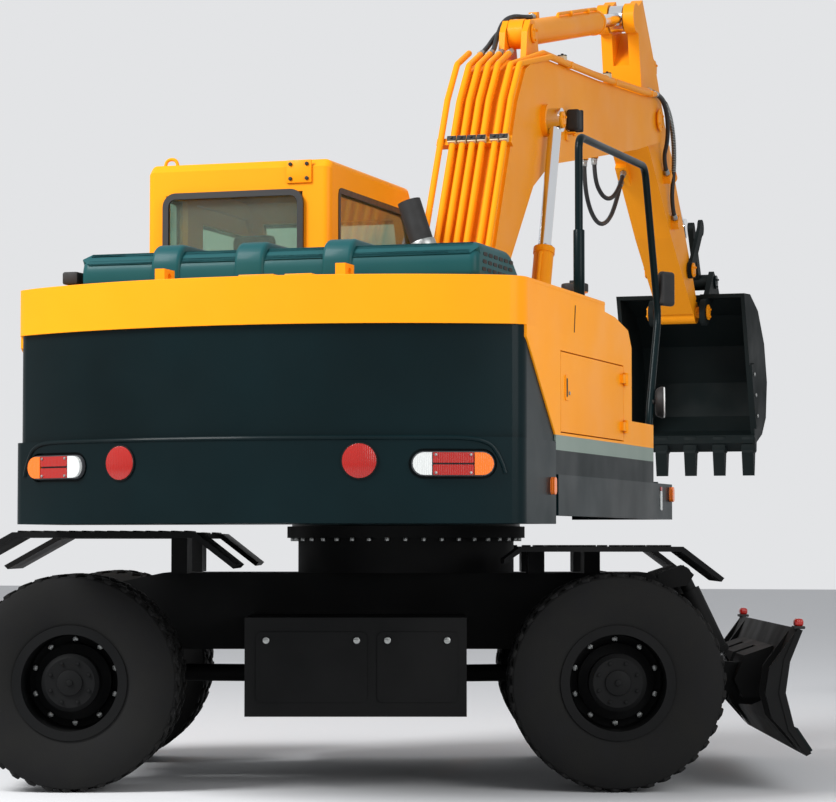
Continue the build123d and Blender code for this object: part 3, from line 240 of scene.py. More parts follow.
# %% Other finishes
LENS_RIB, LENS_RELIEF = 9, 0.8
THREAD, THREAD_RELIEF = 7, 1.0


def finish(name, hex_value, low, high, patch, second=None, grain=0, depth=0.2, **sockets):
    """Roughness from low to high in patches, a second colour for them, and a grain of that many millimetres."""
    values = {key.replace("_", " "): value for key, value in sockets.items()}
    material, tree, shader = shaded(name, {"Base Color": colour(hex_value)} | values)
    roughened(tree, shader, patches(tree, patch), low, high)
    if second:
        tinted(tree, shader, patches(tree, patch), hex_value, second)
    if grain:
        raised(tree, shader, patches(tree, grain, 1.0), depth)
    return material


def lens(name, hex_value, clearness):
    """Acrylic with upright ribs, which break the reflection into bright lines."""
    material, tree, shader = shaded(name, {"Base Color": colour(hex_value), "Transmission Weight": clearness})
    ribs = ridges(tree, LENS_RIB, "X")
    roughened(tree, shader, ribs, 0.14, 0.26)
    raised(tree, shader, ribs, LENS_RELIEF)
    return material


def woven(name, first, second):
    """Two sets of threads over each other; a soft sheen at the rim keeps it from looking like plastic."""
    material, tree, shader = shaded(name, {"Roughness": 0.95, "Sheen Weight": 0.3})
    warp, weft = ridges(tree, THREAD, "X"), ridges(tree, THREAD, "DIAGONAL")
    cloth = add(tree, "ShaderNodeMath", {0: warp, 1: weft}, operation="MULTIPLY").outputs[0]
    tinted(tree, shader, cloth, first, second)
    raised(tree, shader, cloth, THREAD_RELIEF)
    return material


# Dusty flanks: grey patches on black, with a pebble that kills every reflection.
rubber = finish("tyre_rubber", "#0B0B0C", 0.8, 0.97, 160, "#191918", 6, 0.5, Specular_IOR_Level=0.25)
# Smoother than a tyre: a dull line of light along the hose shows that it is round.
hose_rubber = finish("hose_rubber", "#0C0C0D", 0.45, 0.6, 40, "#151516", 4, 0.2)
# A mirror with faint wiped bands from the seals.
chrome = finish("hard_chrome", "#D8DADC", 0.08, 0.17, 120, Metallic=1.0)
# Cloudy grey metal; crystals of some 12 mm catch the light one by one.
zinc = finish("zinc_plated_steel", "#8F9291", 0.32, 0.5, 12, "#A9ABA9", Metallic=1.0)
# The sand skin of a casting.
iron = finish("cast_iron", "#454545", 0.6, 0.8, 30, "#54504A", 5, 0.6, Metallic=0.4)
# Matt heat-proof black, a little chalky.
soot = finish("matt_black_pipe", "#0B0B0C", 0.6, 0.8, 60, "#151515", 4, 0.2)
# Yellowed moulded plastic with a satin skin.
cream = finish("cream_polyamide", "#CFC3A2", 0.42, 0.58, 25, "#C2B492")
# Leather grain, as on a dashboard.
interior = finish("grey_moulded_plastic", "#35373A", 0.5, 0.7, 90, "#3D3F42", 4, 0.4)
# Two greys cross, so the cloth looks soft and flecked; the threads are drawn wide enough to show.
fabric = woven("woven_seat_fabric", "#1E2024", "#34373C")
# A green tint, with smears that only the reflections show; an IOR below that of real glass keeps the seat in view.
glass = finish("tinted_safety_glass", "#B9CFC0", 0.02, 0.06, 260, Transmission_Weight=0.92, IOR=1.3)
# As bright as the sky that it shows.
mirror = finish("silvered_glass", "#E8ECEE", 0.02, 0.06, 120, Metallic=1.0)
# A lens has its colour right through; the ribs make it glow in lines.
red, amber = lens("red_lens", "#A8180F", 0.15), lens("amber_lens", "#F4761A", 0.15)
# Colourless, so it takes the grey of the reflector behind it.
clear = lens("clear_lens", "#E9ECEA", 0.25)
print("finishes", len(bpy.data.materials), "with the paints")

# %% [markdown]
# ## Paint on the solids
# Each solid takes the finish of the real piece. One table lists the solids by finish, and a loop hands the
# material to the solid's own slot, so the shapes themselves stay untouched.

# %% Paint the solids
FINISHES = {
    orange: "boom boom_pipes lift_barrels arm_barrel arm curl_barrel rear_cover cab_right_wall cab_left_wall "
            "cab_rear_wall cab_roof cab_front_frame cab_door right_service_door left_service_door fuel_filler",
    striped: "right_housing left_housing",
    green: "counterweight upper_frame handrail",
    painted_lit_hood_green: "engine_hood",
    digging: "bucket rocker bucket_link",
    black: "chassis_frame mudguards rear_axle front_axle drive_line tie_rod knuckle_left knuckle_right blade "
           "blade_barrels front_rim_left front_rim_right rear_rim_left rear_rim_right",
    rubber: "front_tyres_left front_tyres_right rear_tyres_left rear_tyres_right",
    chrome: "lift_rods arm_rod curl_rod blade_rods",
    soot: "exhaust boom_lamp",
    hose_rubber: "arm_hoses nose_hoses",
    red: "tail_lamps",
    glass: "cab_glass door_glass",
    fabric: "operator_seat",
    interior: "cab_controls cab_floor",
    iron: "engine_block",
}
for paint, names in FINISHES.items():
    for name in names.split():
        solid = frame["nodes"][name]
        solid.data.materials.clear()
        solid.data.materials.append(paint)
print("painted", sum(len(names.split()) for names in FINISHES.values()), "of", len(frame["nodes"]), "solids")

# %% [markdown]
# ## Soft edges
# Pressed and welded plate has no sharp edge: a press leaves a radius, and a welder grinds one. A bevel on the
# edges that turn by more than 40 degrees catches a thin line of light there, wider on the cast weight than on
# the welded boom.

# %% Soft edges
SOFT = {20: "counterweight", 6: "boom arm upper_frame chassis_frame bucket", 5: "rear_cover mudguards",
        3: "right_housing left_housing right_service_door left_service_door cab_door rocker blade"}
for width, names in SOFT.items():
    for name in names.split():
        edge = frame["nodes"][name].modifiers.new("soft edge", "BEVEL")
        edge.width, edge.segments = width * MM, 3
        edge.limit_method, edge.angle_limit = "ANGLE", radians(40)
        edge.use_clamp_overlap = False
print("softened", sum(len(names.split()) for names in SOFT.values()), "solids")

# %% [markdown]
# ## Blocks and turned pieces
# Brackets, grips and housings are blocks; screws, rings and caps come from a lathe. Both could be drawn vertex by
# vertex, but a primitive that is added at its place and bevelled in edit mode is what one would do by hand. The
# bevel matters most: real edges are never sharp, and it is what catches the light. An operator works on all that
# is selected, so two helpers keep the selection clean.

# %% Blocks and turned pieces
UP = Vector((0, 0, 1))


def only(piece):
    """Selects one piece and nothing else."""
    bpy.ops.object.select_all(action="DESELECT")
    piece.select_set(True)
    bpy.context.view_layer.objects.active = piece


def edit(step, mode="EDGE"):
    """Runs one step in edit mode on the whole mesh."""
    bpy.ops.object.mode_set(mode="EDIT")
    bpy.ops.mesh.select_mode(type=mode)
    bpy.ops.mesh.select_all(action="SELECT")
    step()
    bpy.ops.object.mode_set(mode="OBJECT")
    return bpy.context.object


def slab(size, place, bevel, turn=(0, 0, 0), segments=2):
    """A block with bevelled edges."""
    bpy.ops.object.select_all(action="DESELECT")
    bpy.ops.mesh.primitive_cube_add(size=1, location=place, rotation=turn)
    bpy.context.object.scale = [v * MM for v in size]
    bpy.ops.object.transform_apply(location=False, rotation=False, scale=True)
    return edit(lambda: bpy.ops.mesh.bevel(offset=bevel * MM, segments=segments, affect="EDGES"))


def bevel_rims(width, sharpness=50, segments=2):
    """Bevels the edges that turn by more than some degrees, in edit mode."""
    bpy.ops.mesh.select_all(action="DESELECT")
    bpy.ops.mesh.edges_select_sharp(sharpness=radians(sharpness))
    bpy.ops.mesh.bevel(offset=width * MM, segments=segments, affect="EDGES")


def turned(radius, height, place, axis, bevel, sides, top=None):
    """A round piece about an axis, with bevelled rims; top is its upper radius if it tapers."""
    bpy.ops.object.select_all(action="DESELECT")
    bpy.ops.mesh.primitive_cone_add(
        vertices=sides, radius1=radius * MM, radius2=(top or radius) * MM, depth=height * MM, location=place,
        rotation=Vector(axis).to_track_quat("Z", "Y").to_euler())
    return edit(lambda: bevel_rims(bevel))


print("ready for blocks and turned pieces")

# %% [markdown]
# ## Plates
# Doors, seals, lenses and guards are cut from sheet. A circle with as many vertices as the outline has corners is
# pulled to that outline, its corners are rounded by a vertex bevel, and Solidify gives it its thickness. An inset
# whose middle is deleted makes a frame of it, which is quicker and cleaner than cutting one plate out of another.

# %% Plates
def plate(corners, origin, across, up, thick, rounding=0, ring=0, arc=4):
    """A plate whose outline is in millimetres from origin; a frame of that width if ring is given."""
    bpy.ops.object.select_all(action="DESELECT")
    bpy.ops.mesh.primitive_circle_add(vertices=len(corners), fill_type="NGON")
    made = bpy.context.object
    across, up = Vector(across).normalized(), Vector(up).normalized()
    for vertex, (u, v) in zip(made.data.vertices, corners):
        vertex.co = origin + across * (u * MM) + up * (v * MM)

    def shape():
        if rounding:
            bpy.ops.mesh.bevel(offset=rounding * MM, segments=arc, affect="VERTICES", clamp_overlap=True)
        if ring:
            bpy.ops.mesh.select_all(action="SELECT")
            bpy.ops.mesh.inset(thickness=ring * MM)
            bpy.ops.mesh.delete(type="FACE")

    edit(shape, "VERT")
    wall = made.modifiers.new("wall", "SOLIDIFY")
    wall.thickness = thick * MM
    wall.offset = 1
    bpy.ops.object.modifier_apply(modifier=wall.name)
    return made


def box_corners(u0, u1, v0, v1):
    """The corners of an upright rectangle."""
    return [(u0, v0), (u1, v0), (u1, v1), (u0, v1)]


def facing(side, corners):
    """Corners drawn for the right face, turned over for the left one."""
    return corners if side > 0 else [(-u, v) for u, v in reversed(corners)]


print("ready for plates")

# %% [markdown]
# ## Pipes
# Rails, hoses and oil pipes are bent from one length. A spline with a round section is made for this: a few points
# pull it into shape, and it stays smooth between them, where a chain of cylinders would show its joints.

# %% Pipes
CURVE_ORDER, CURVE_STEPS = 3, 6


def smooth_line(points):
    """A smooth curve that the points of the frame pull into shape; it starts and ends on them."""
    bpy.ops.object.select_all(action="DESELECT")
    bpy.ops.curve.primitive_nurbs_path_add()
    made = bpy.context.object
    made.data.splines.clear()
    spline = made.data.splines.new("NURBS")
    spline.points.add(len(points) - 1)
    for point, place in zip(spline.points, points):
        point.co = (*place, 1)
    spline.order_u = min(CURVE_ORDER, len(points))
    spline.use_endpoint_u = True
    made.data.resolution_u = CURVE_STEPS
    return made


def tube(points, radius, sides=3):
    """A smooth pipe along points of the frame."""
    made = smooth_line(points)
    made.data.bevel_depth = radius * MM
    made.data.bevel_resolution = sides
    made.data.use_fill_caps = True
    bpy.ops.object.convert(target="MESH")
    return bpy.context.object


print("ready for pipes")

# %% [markdown]
# ## Copying, joining and handing over
# What repeats is modelled once and copied, and small pieces of one kind are joined into one. The last helper names
# the piece, moves its place into its mesh, shades it and hands it to the body that carries it, so that it travels
# with that body when a joint moves.

# %% Copying, joining and handing over
made_names = []


def copied(piece, place, turn):
    """A copy with its own mesh, at another place and turned."""
    only(piece)
    bpy.ops.object.duplicate(linked=False)
    made = bpy.context.object
    made.location, made.rotation_euler = place, turn
    return made


def joined(pieces):
    """Several pieces as one mesh."""
    only(pieces[0])
    for piece in pieces:
        piece.select_set(True)
    bpy.ops.object.join()
    return bpy.context.object


def keep(piece, name, body, paint, angle=35):
    """Names a piece, applies its place and hands it to its body, if one body carries it."""
    if isinstance(piece, list):
        piece = joined(piece)
    only(piece)
    bpy.ops.object.transform_apply(location=True, rotation=True, scale=True)
    piece.name = piece.data.name = name
    piece.data.materials.clear()
    piece.data.materials.append(paint)
    bpy.ops.object.shade_smooth_by_angle(angle=radians(angle))
    if body:
        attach(piece, body)
    made_names.append(name)
    return piece


# %% [markdown]
# ## Tail lamps
# The tail is a part of a cylinder about the slew axis, so every fitting on it is placed by an angle and a
# height. Each lamp is one moulded base with a clear lens inside, two red ones and an amber one outside. The
# lenses could be painted on the base, but plates with round ends that stand a little proud have real edges.

# %% Tail lamps
TAIL_R, LAMP_ANGLE, LAMP_Z = 2450, 23.1, 1552
LAMP_HALF, LAMP_RISE, LAMP_SUNK, LAMP_BASE = 185, 55, 12, 18
LENS_HALF, LENS_RISE, LENS_THICK, LENS_SPLIT = LAMP_HALF - 5, 50, 14, 95
BRAKE_HALF, BRAKE_HIGH, ARC_STEPS = 91, 46, 10


def tail_face(angle, z, out):
    """A place that far out of the tail, with the directions across the tail and away from it."""
    a = radians(angle)
    away = Vector((sin(a), -cos(a), 0))
    reach = TAIL_R + out
    return spot(away.x * reach, away.y * reach, z), Vector((cos(a), sin(a), 0)), away


def round_end(sign, inner, half, rise):
    """Outline of a lens with one round end, at the sign's side."""
    arc = [radians(-90 + 180 * k / ARC_STEPS) for k in range(ARC_STEPS + 1)]
    end = [(half - rise + rise * cos(a), rise * sin(a)) for a in arc]
    return facing(sign, [(inner, -rise)] + end + [(inner, rise)])


def tail_lamp(side, name):
    """Base, lenses and screws of one lamp; returns the base."""
    origin, across, away = tail_face(side * LAMP_ANGLE, LAMP_Z, -LAMP_SUNK)
    ends = round_end(1, 0, LAMP_HALF, LAMP_RISE)[1:-1] + round_end(-1, 0, LAMP_HALF, LAMP_RISE)[1:-1]
    base = keep(plate(ends, origin, across, UP, LAMP_BASE), "lamp_base_" + name, "upper", interior)
    face = origin + away * (LAMP_BASE * MM)

    def end_lens(sign):
        return plate(round_end(sign, LENS_SPLIT, LENS_HALF, LENS_RISE), face, across, UP, LENS_THICK)

    keep(end_lens(-side), "reversing_lens_" + name, "upper", clear)
    bars = [plate(box_corners(-BRAKE_HALF, BRAKE_HALF, v, v + BRAKE_HIGH), face, across, UP, LENS_THICK, 6)
            for v in (-LENS_RISE, LENS_RISE - BRAKE_HIGH)]
    keep(bars, "brake_lens_" + name, "upper", red)
    keep(end_lens(side), "turn_lens_" + name, "upper", amber)
    front = face + away * ((LENS_THICK + 1) * MM)
    screws = [turned(6, 8, front + across * (u * MM) + UP * (v * MM), away, 1, 10)
              for u in (-78, 78) for v in (-40, 40)]
    keep(screws, "lamp_screws_" + name, "upper", zinc)
    return base


bases = [tail_lamp(1, "right"), tail_lamp(-1, "left")]
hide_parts("tail_lamps")
print("tail lamps", len(made_names))

# %% [markdown]
# ## Reflectors, bead and lip
# Two round reflectors lie on the weight in black rings. Under its widest part runs a rolled bead that turns
# down at both ends, and the cover's top edge is rolled into a round lip. Bead and lip could be extruded from the
# solids, but those stay as they are, so both are pipes laid half into the surface.

# %% Reflectors, bead and lip
REFLECTOR_ANGLES, REFLECTOR_Z, REFLECTOR_R = {"right": 13.4, "left": -13.8}, 1565, 77
BEAD_Z, BEAD_LOW, BEAD_R = 1668, 1512, 11
LIP_Z, LIP_R = 2382, 15

for name, angle in REFLECTOR_ANGLES.items():
    origin, across, away = tail_face(angle, REFLECTOR_Z, 4)
    keep(turned(REFLECTOR_R, 12, origin, away, 3, 40), "reflector_" + name, "upper", red)
    ring = turned(REFLECTOR_R + 6, 8, origin - away * (1 * MM), away, 2, 40)
    keep(ring, "reflector_ring_" + name, "upper", black)
bead = [(-28.6, BEAD_LOW), (-28.4, 1545), (-27.8, 1600), (-27, 1645)] + [(a, BEAD_Z) for a in range(-25, 26, 5)]
bead += [(-a, z) for a, z in reversed(bead[:4])]
keep(tube([tail_face(a, z, -2)[0] for a, z in bead], BEAD_R), "tail_bead", "upper", green)
lip_right = [(1232, -640), (1232, -1000), (1232, -1500), (1232, -1960), (1229, -2058), (1176, -2116)]
lip = [spot(-x, y, LIP_Z) for x, y in lip_right]
lip += [tail_face(a, LIP_Z, -24)[0] for a in range(-26, 27, 4)]
lip += [spot(x, y, LIP_Z) for x, y in reversed(lip_right)]
keep(tube(lip, LIP_R, 4), "cover_lip", "upper", orange)
print("tail fittings", len(made_names))

# %% [markdown]
# ## Engine hood
# The hood is pressed from sheet with wide radii, and three raised bands cross it. A bevel on the flat solid could
# not give radii that wide, so the hood is modelled anew: its side outline is drawn as a plate, rounded at the
# corners, thickened to the hood's width and rounded again at both ends; then the floor is inset and pushed up to
# make it hollow.

# %% Engine hood
HOOD_END, HOOD_ROUND, HOOD_WALL, HOOD_HOLLOW = 985, 42, 30, 120
BAND_HALF, BAND_PLACES = 75, (-545, -125, 310)
# Corners in the side view, as y and z.
HOOD_SIDE = [(-1955, 2400), (-1250, 2400), (-1250, 2480), (-1400, 2577), (-1900, 2577), (-1955, 2520)]
BAND_SIDE = [(-1966, 2404), (-1360, 2404), (-1352, 2520), (-1420, 2610), (-1910, 2610), (-1966, 2545)]
HOOD_PIN = (-1230, 2415)


def pressing(corners, x0, x1, rounding, ends):
    """A side outline from x0 to x1 with round corners and round ends."""
    plate(corners, spot(x0, 0, 0), (0, 1, 0), UP, x1 - x0, rounding, 0, 5)
    return edit(lambda: bevel_rims(ends, 60, 5))


def hollowed(piece, wall, depth):
    """Insets the flat floor of a piece and pushes it up."""
    only(piece)
    bpy.ops.object.mode_set(mode="EDIT")
    bpy.ops.mesh.select_mode(type="FACE")
    bpy.ops.mesh.select_all(action="DESELECT")
    bpy.ops.object.mode_set(mode="OBJECT")
    floor = min(piece.data.polygons, key=lambda face: face.normal.z * face.area)
    floor.select = True
    bpy.ops.object.mode_set(mode="EDIT")
    bpy.ops.mesh.inset(thickness=wall * MM)
    bpy.ops.mesh.extrude_region_move(TRANSFORM_OT_translate={"value": (0, 0, depth * MM)})
    bpy.ops.object.mode_set(mode="OBJECT")
    return piece


hood = [hollowed(pressing(HOOD_SIDE, -HOOD_END, HOOD_END, HOOD_ROUND, 40), HOOD_WALL, HOOD_HOLLOW)]
hood += [pressing(BAND_SIDE, x - BAND_HALF, x + BAND_HALF, HOOD_ROUND, 22) for x in BAND_PLACES]
for x in (-700, 700):
    hood.append(slab((60, 40, 22), spot(x, -1250, 2415), 4))
    hood.append(turned(17, 60, spot(x, *HOOD_PIN), (1, 0, 0), 3, 24))
# the hood's green carries painted light from above
hood = keep(hood, "hood_shell", "hood", painted_lit_hood_green)
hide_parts("engine_hood")
print("hood", len(hood.data.polygons), "faces")

# %% [markdown]
# ## Hood slots
# The engine breathes through rows of slots in the hood's ends. Cutting them would need a boolean on a rounded
# shell; a slot that deep shows no bottom, so thin matt black plates with round ends are its painted shade.

# %% Hood slots
SLOT_ROWS, SLOT_COUNT, SLOT_START = (2445, 2480, 2515), 6, -1880
SLOT_PITCH, SLOT_STAGGER, SLOT_LONG, SLOT_HIGH = 84, 10, 62, 17


def hood_slots(side, name):
    """Three rows of slots on one end of the hood."""
    origin = spot(side * (HOOD_END - 1), 0, 0)
    slots = []
    for row, z in enumerate(SLOT_ROWS):
        for k in range(SLOT_COUNT):
            y = SLOT_START + k * SLOT_PITCH + row * SLOT_STAGGER
            corners = facing(side, box_corners(y, y + SLOT_LONG, z, z + SLOT_HIGH))
            slots.append(plate(corners, origin, (0, side, 0), UP, 3, 8))
    # matt black plates: painted shade in the hood's slots
    keep(slots, "hood_slots_" + name, "hood", soot)


hood_slots(1, "right")
hood_slots(-1, "left")
print("hood fittings", len(made_names))

# %% [markdown]
# ## Cover and exhaust
# Flat straps and rows of bolts hold the cover's seams, a small camera looks back over the weight, and a clamp of
# bright steel holds the exhaust's slanted pipe on its elbow. All are blocks and turned pieces.

# %% Cover and exhaust
COVER_TOP, ELBOW = 2393, spot(425, -950, 2600)
PIPE_WAY, CLAMP_UP = Vector((-97, 0, 290)).normalized(), 75
CAMERA_X, CAMERA_Y = -1050, -1890

straps = [slab((170, 90, 12), spot(87, -2370, COVER_TOP + 5), 4),
          slab((132, 90, 12), spot(282, -2352, COVER_TOP + 5), 4)]
keep(straps, "cover_straps", "upper", orange)
camera_box = [slab((80, 90, 60), spot(CAMERA_X, CAMERA_Y, COVER_TOP + 70), 10),
              turned(24, 60, spot(CAMERA_X, CAMERA_Y, COVER_TOP + 25), UP, 4, 20)]
keep(camera_box, "rear_camera", "upper", soot)
clamp = turned(66, 40, ELBOW + PIPE_WAY * (CLAMP_UP * MM), PIPE_WAY, 5, 32)
keep(clamp, "exhaust_clamp", "upper", zinc)
bolt_rows = [turned(11, 10, spot(x, y, COVER_TOP + 4), UP, 3, 6) for x in (-1120, -1060, 1060, 1120)
             for y in (-1250, -1000, -750)]
keep(bolt_rows, "cover_bolts", "upper", zinc)
print("cover fittings", len(made_names))

# %% [markdown]
# ## Window seals
# Panes sit in black rubber seals with round corners. A seal could be a pipe round the pane, but rubber profiles
# are flat, so each is a plate in the shape of the window whose middle is taken out by an inset. The seals lie in
# the wall's thickness, so the frame stays visible. The one in the door rides on the door.

# %% Window seals
CAB_L, CAB_R, CAB_BACK = -1229, -211, -600
REAR_WINDOW = box_corners(-1132, -353, 2320, 3022)
RIGHT_WINDOW = [(-480, 2320), (905, 2320), (994, 2398), (753, 2966), (694, 3040), (-480, 3040)]
QUARTER_WINDOW = box_corners(-490, -180, 2320, 3040)
DOOR_WINDOW = [(50, 2320), (910, 2320), (953, 2398), (743, 2896), (694, 2950), (50, 2950)]
CAB_MIDDLE, SEAL_SUNK = -720, 8

rear_seal = plate(REAR_WINDOW, spot(0, CAB_BACK - SEAL_SUNK, 0), (1, 0, 0), UP, 16, 70, 32, 6)
keep(rear_seal, "rear_window_seal", "upper", hose_rubber)
right_seal = plate(RIGHT_WINDOW, spot(CAB_R - SEAL_SUNK, 0, 0), (0, 1, 0), UP, 12, 60, 30, 5)
keep(right_seal, "right_window_seal", "upper", hose_rubber)
quarter_seal = plate(facing(-1, QUARTER_WINDOW), spot(CAB_L + SEAL_SUNK, 0, 0), (0, -1, 0), UP, 12, 50, 28, 5)
keep(quarter_seal, "quarter_window_seal", "upper", hose_rubber)
door_seal = plate(facing(-1, DOOR_WINDOW), spot(CAB_L + SEAL_SUNK, 0, 0), (0, -1, 0), UP, 12, 50, 28, 5)
keep(door_seal, "door_window_seal", "cab_door", hose_rubber)
brow_up = Vector((0, -340, 910)).normalized()
brow = plate(box_corners(-500, 500, 40, 930), spot(CAB_MIDDLE, 1142, 2152), (-1, 0, 0), brow_up, 10, 60, 34, 5)
chin_up = Vector((0, 18, 545)).normalized()
chin = plate(box_corners(-410, 410, 90, 505), spot(CAB_MIDDLE, 1124, 1605), (-1, 0, 0), chin_up, 10, 50, 30, 5)
keep([brow, chin], "front_window_seals", "upper", hose_rubber)
print("with the seals", len(made_names))

# %% [markdown]
# ## Wiper, roof fittings and door handle
# The cab is lifted by a bent loop on its roof, and a bracket with four bolts stands at the rear edge. The wiper's
# arm and blade are two thin pipes, which follow the leaning pane more easily than blocks would.

# %% Wiper, roof fittings and door handle
wiper = [tube([spot(-900, 1140, 2160), spot(-880, 1070, 2400), spot(-760, 960, 2660)], 8),
         tube([spot(-760, 1013, 2540), spot(-755, 920, 2790)], 10)]
keep(wiper, "wiper", "upper", soot)
loop = [spot(x, -520, z) for x, z in ((-1160, 3170), (-1160, 3215), (-1090, 3215), (-1090, 3170))]
keep(tube(loop, 9), "roof_lifting_loop", "upper", orange)
keep(slab((138, 12, 119), spot(-380, -606, 3112), 4), "roof_bracket", "upper", orange)
bolts = [turned(11, 10, spot(x, -615, z), (0, -1, 0), 2, 6) for x in (-425, -335) for z in (3075, 3150)]
keep(bolts, "roof_bracket_bolts", "upper", soot)
handle = [slab((16, 150, 34), spot(CAB_L - 6, 900, 2230), 6), slab((14, 60, 60), spot(CAB_L - 4, 900, 2230), 5)]
keep(handle, "door_handle", "cab_door", soot)
print("cab fittings", len(made_names))

# %% [markdown]
# ## Door latches
# A service door is opened by a paddle in a shallow plate, with a lock beside it. The gap round a paddle is too
# thin to cut, so its shade is painted: a narrow plate of matt black that stands out by a millimetre or two.

# %% Door latches
HALF_W = 1245


def door_latch(side, word):
    """A paddle in a shallow plate, with its lock."""
    face = spot(side * (HALF_W + 0.5), 0, 0)
    out, door = Vector((side, 0, 0)), word + "_door"
    around = plate(facing(side, box_corners(-1404, -1324, 1870, 1990)), face, (0, side, 0), UP, 5, 14)
    keep(around, "latch_plate_" + word, door, orange)
    front = face + out * (4.5 * MM)
    # painted shade: a matt black plate in the gap round the paddle
    gap = plate(facing(side, box_corners(-1392, -1372, 1886, 1974)), front, (0, side, 0), UP, 2, 6)
    keep(gap, "latch_gap_" + word, door, soot)
    lock = turned(9, 8, spot(side * (HALF_W + 7), -1345, 1905), out, 2, 16)
    keep(lock, "latch_lock_" + word, door, zinc)


door_latch(1, "right")
door_latch(-1, "left")
print("with the latches", len(made_names))

# %% [markdown]
# ## Side markers and grab handle
# Amber markers sit at both ends of the skirt, with a reflector strip of clear and red beside the front one. A grab
# handle, bent from a thin bar, helps the driver up the right side. The slanted gap between cover and side wall is
# painted shade: a thin dark plate, as the gaps round the latches are.

# %% Side markers and grab handle
MARKER_Z, STRIP_Y, STRIP_Z, GRAB_X = 1465, 560, 1440, 1190
GRAB = [(-90, 2080), (-20, 2080), (40, 2060), (40, 1960), (-20, 1940), (-90, 1940)]
SEAM = [(-1236, 2200), (-1228, 2200), (-1206, 2330), (-1214, 2330)]


def side_marker(side, y, name):
    """A lens with round ends on the skirt."""
    corners = box_corners(-21, 21, -40, 40)
    origin = spot(side * HALF_W, y, MARKER_Z)
    keep(plate(corners, origin, (0, side, 0), UP, 20, 19, 0, 6), "side_marker_" + name, "upper", amber)


side_marker(1, 775, "front_right")
side_marker(1, -1640, "rear_right")
side_marker(-1, 1060, "front_left")
side_marker(-1, -1640, "rear_left")
for name, low, high, paint in (("reflector_strip", -62, 40, clear), ("reflector_strip_red", 41, 62, red)):
    strip = plate(box_corners(-16, 16, low, high), spot(HALF_W, STRIP_Y, STRIP_Z), (0, 1, 0), UP, 4, 4)
    keep(strip, name, "upper", paint)
keep(tube([spot(GRAB_X, y, z) for y, z in GRAB], 11, 4), "grab_handle", "upper", zinc)
# painted shade: a thin dark plate in the gap between cover and side wall
keep(plate(SEAM, spot(HALF_W + 0.4, 0, 0), (0, 1, 0), UP, 2), "cover_seam", "upper", soot)
print("with the markers", len(made_names))

# %% [markdown]
# ## Step lamp and filler cap
# A round lamp on the handrail's post lights the steps: a body that tapers to the back and a lens in its rim. The
# filler is closed by a cap with a bar to turn it by.

# %% Step lamp and filler cap
FILLER = (1010, -330)

lamp_axis = Vector((1, 0.25, 0)).normalized()
lamp_place = spot(1168, 860, 1968)
lamp_body = [turned(92, 46, lamp_place, -lamp_axis, 14, 36, 70),
             turned(14, 70, spot(1148, 830, 1968), (0.3, 1, 0), 3, 16)]
keep(lamp_body, "step_lamp_body", "upper", soot)
keep(turned(84, 8, lamp_place + lamp_axis * (26 * MM), lamp_axis, 3, 36), "step_lamp_lens", "upper", clear)
cap = [turned(69, 46, spot(*FILLER, 2494), UP, 8, 36), slab((30, 110, 16), spot(*FILLER, 2522), 5)]
keep(cap, "filler_cap", "upper", soot)
print("right side fittings", len(made_names))

# %% [markdown]
# ## Routes of the hoses
# Rubber hoses lead the oil over the joints. Each one leaves a pipe or a bracket on the boom straight, bends as
# its wire braid allows and ends square in a block on the arm or on the arm's cylinder. A few control points of a
# smooth spline give such a line. Where a hose ends on the arm or on the cylinder, its last points are counted
# along that piece and above it, so that it arrives in the right direction.

# %% Routes of the hoses
ARM_NOSE, ARM_TIP = (4600, 4085), (6010, 2880)
CYLINDER_FOOT, ARM_HORN = (1790, 4205), (4215, 4722)
LOW_PIPE_END, HIGH_PIPE_END = (1503.3, 4043.6), (4425.4, 4260.7)


def beside(start, end):
    """A function for places along a line in the boom's plane, and above it, in millimetres."""
    length = sqrt((end[0] - start[0]) ** 2 + (end[1] - start[1]) ** 2)
    uy, uz = (end[0] - start[0]) / length, (end[1] - start[1]) / length

    def place(x, t, n):
        return spot(x, start[0] + uy * t - uz * n, start[1] + uz * t + uy * n)

    return place


on_arm = beside(ARM_NOSE, ARM_TIP)
on_barrel = beside(CYLINDER_FOOT, ARM_HORN)
y, z = LOW_PIPE_END
arm_hose_left = [spot(-40, y, z), spot(-40, 1640.6, 4103.9), spot(-32, 1780, 4200), spot(-18, 1930, 4275),
                 spot(0, 2100, 4300), on_barrel(12, 490, 0), on_barrel(12, 640, 0)]
arm_hose_right = [spot(18, y, z), spot(18, 1576.5, 4075.8), spot(4, 1660, 4130), spot(-2, 1750, 4215),
                  spot(0, 1850, 4300), spot(25, 1970, 4350), on_barrel(70, 330, 88), on_barrel(70, 480, 88)]
long_loop = [spot(-49, 3916, 3740), spot(-49, 3916, 3580), spot(-38, 4015, 3410), spot(-24, 4220, 3330),
             spot(-8, 4440, 3395), on_arm(5, 340, -400), on_arm(5, 340, -230)]
short_loop = [spot(-49, 4180, 3785), spot(-49, 4180, 3645), spot(-22, 4285, 3535), spot(8, 4425, 3530),
              on_arm(38, 255, -370), on_arm(38, 255, -230)]
y, z = HIGH_PIPE_END
outer = [spot(266, y, z), spot(266, 4594.4, 4279.2), spot(282, 4800, 4262), spot(296, 4950, 4160),
         spot(300, 5045, 4000), spot(290, 5090, 3800), on_arm(265, 710, -60), on_arm(265, 870, -60)]
inner = [spot(312, y, z - 26), spot(312, 4564.6, 4249.9), spot(330, 4675, 4180), spot(330, 4735, 4060),
         spot(310, 4795, 3950), on_arm(265, 350, 0), on_arm(265, 500, 0)]
print("points at the barrel", on_barrel(12, 640, 0)[:], "and on the arm", on_arm(265, 870, -60)[:])
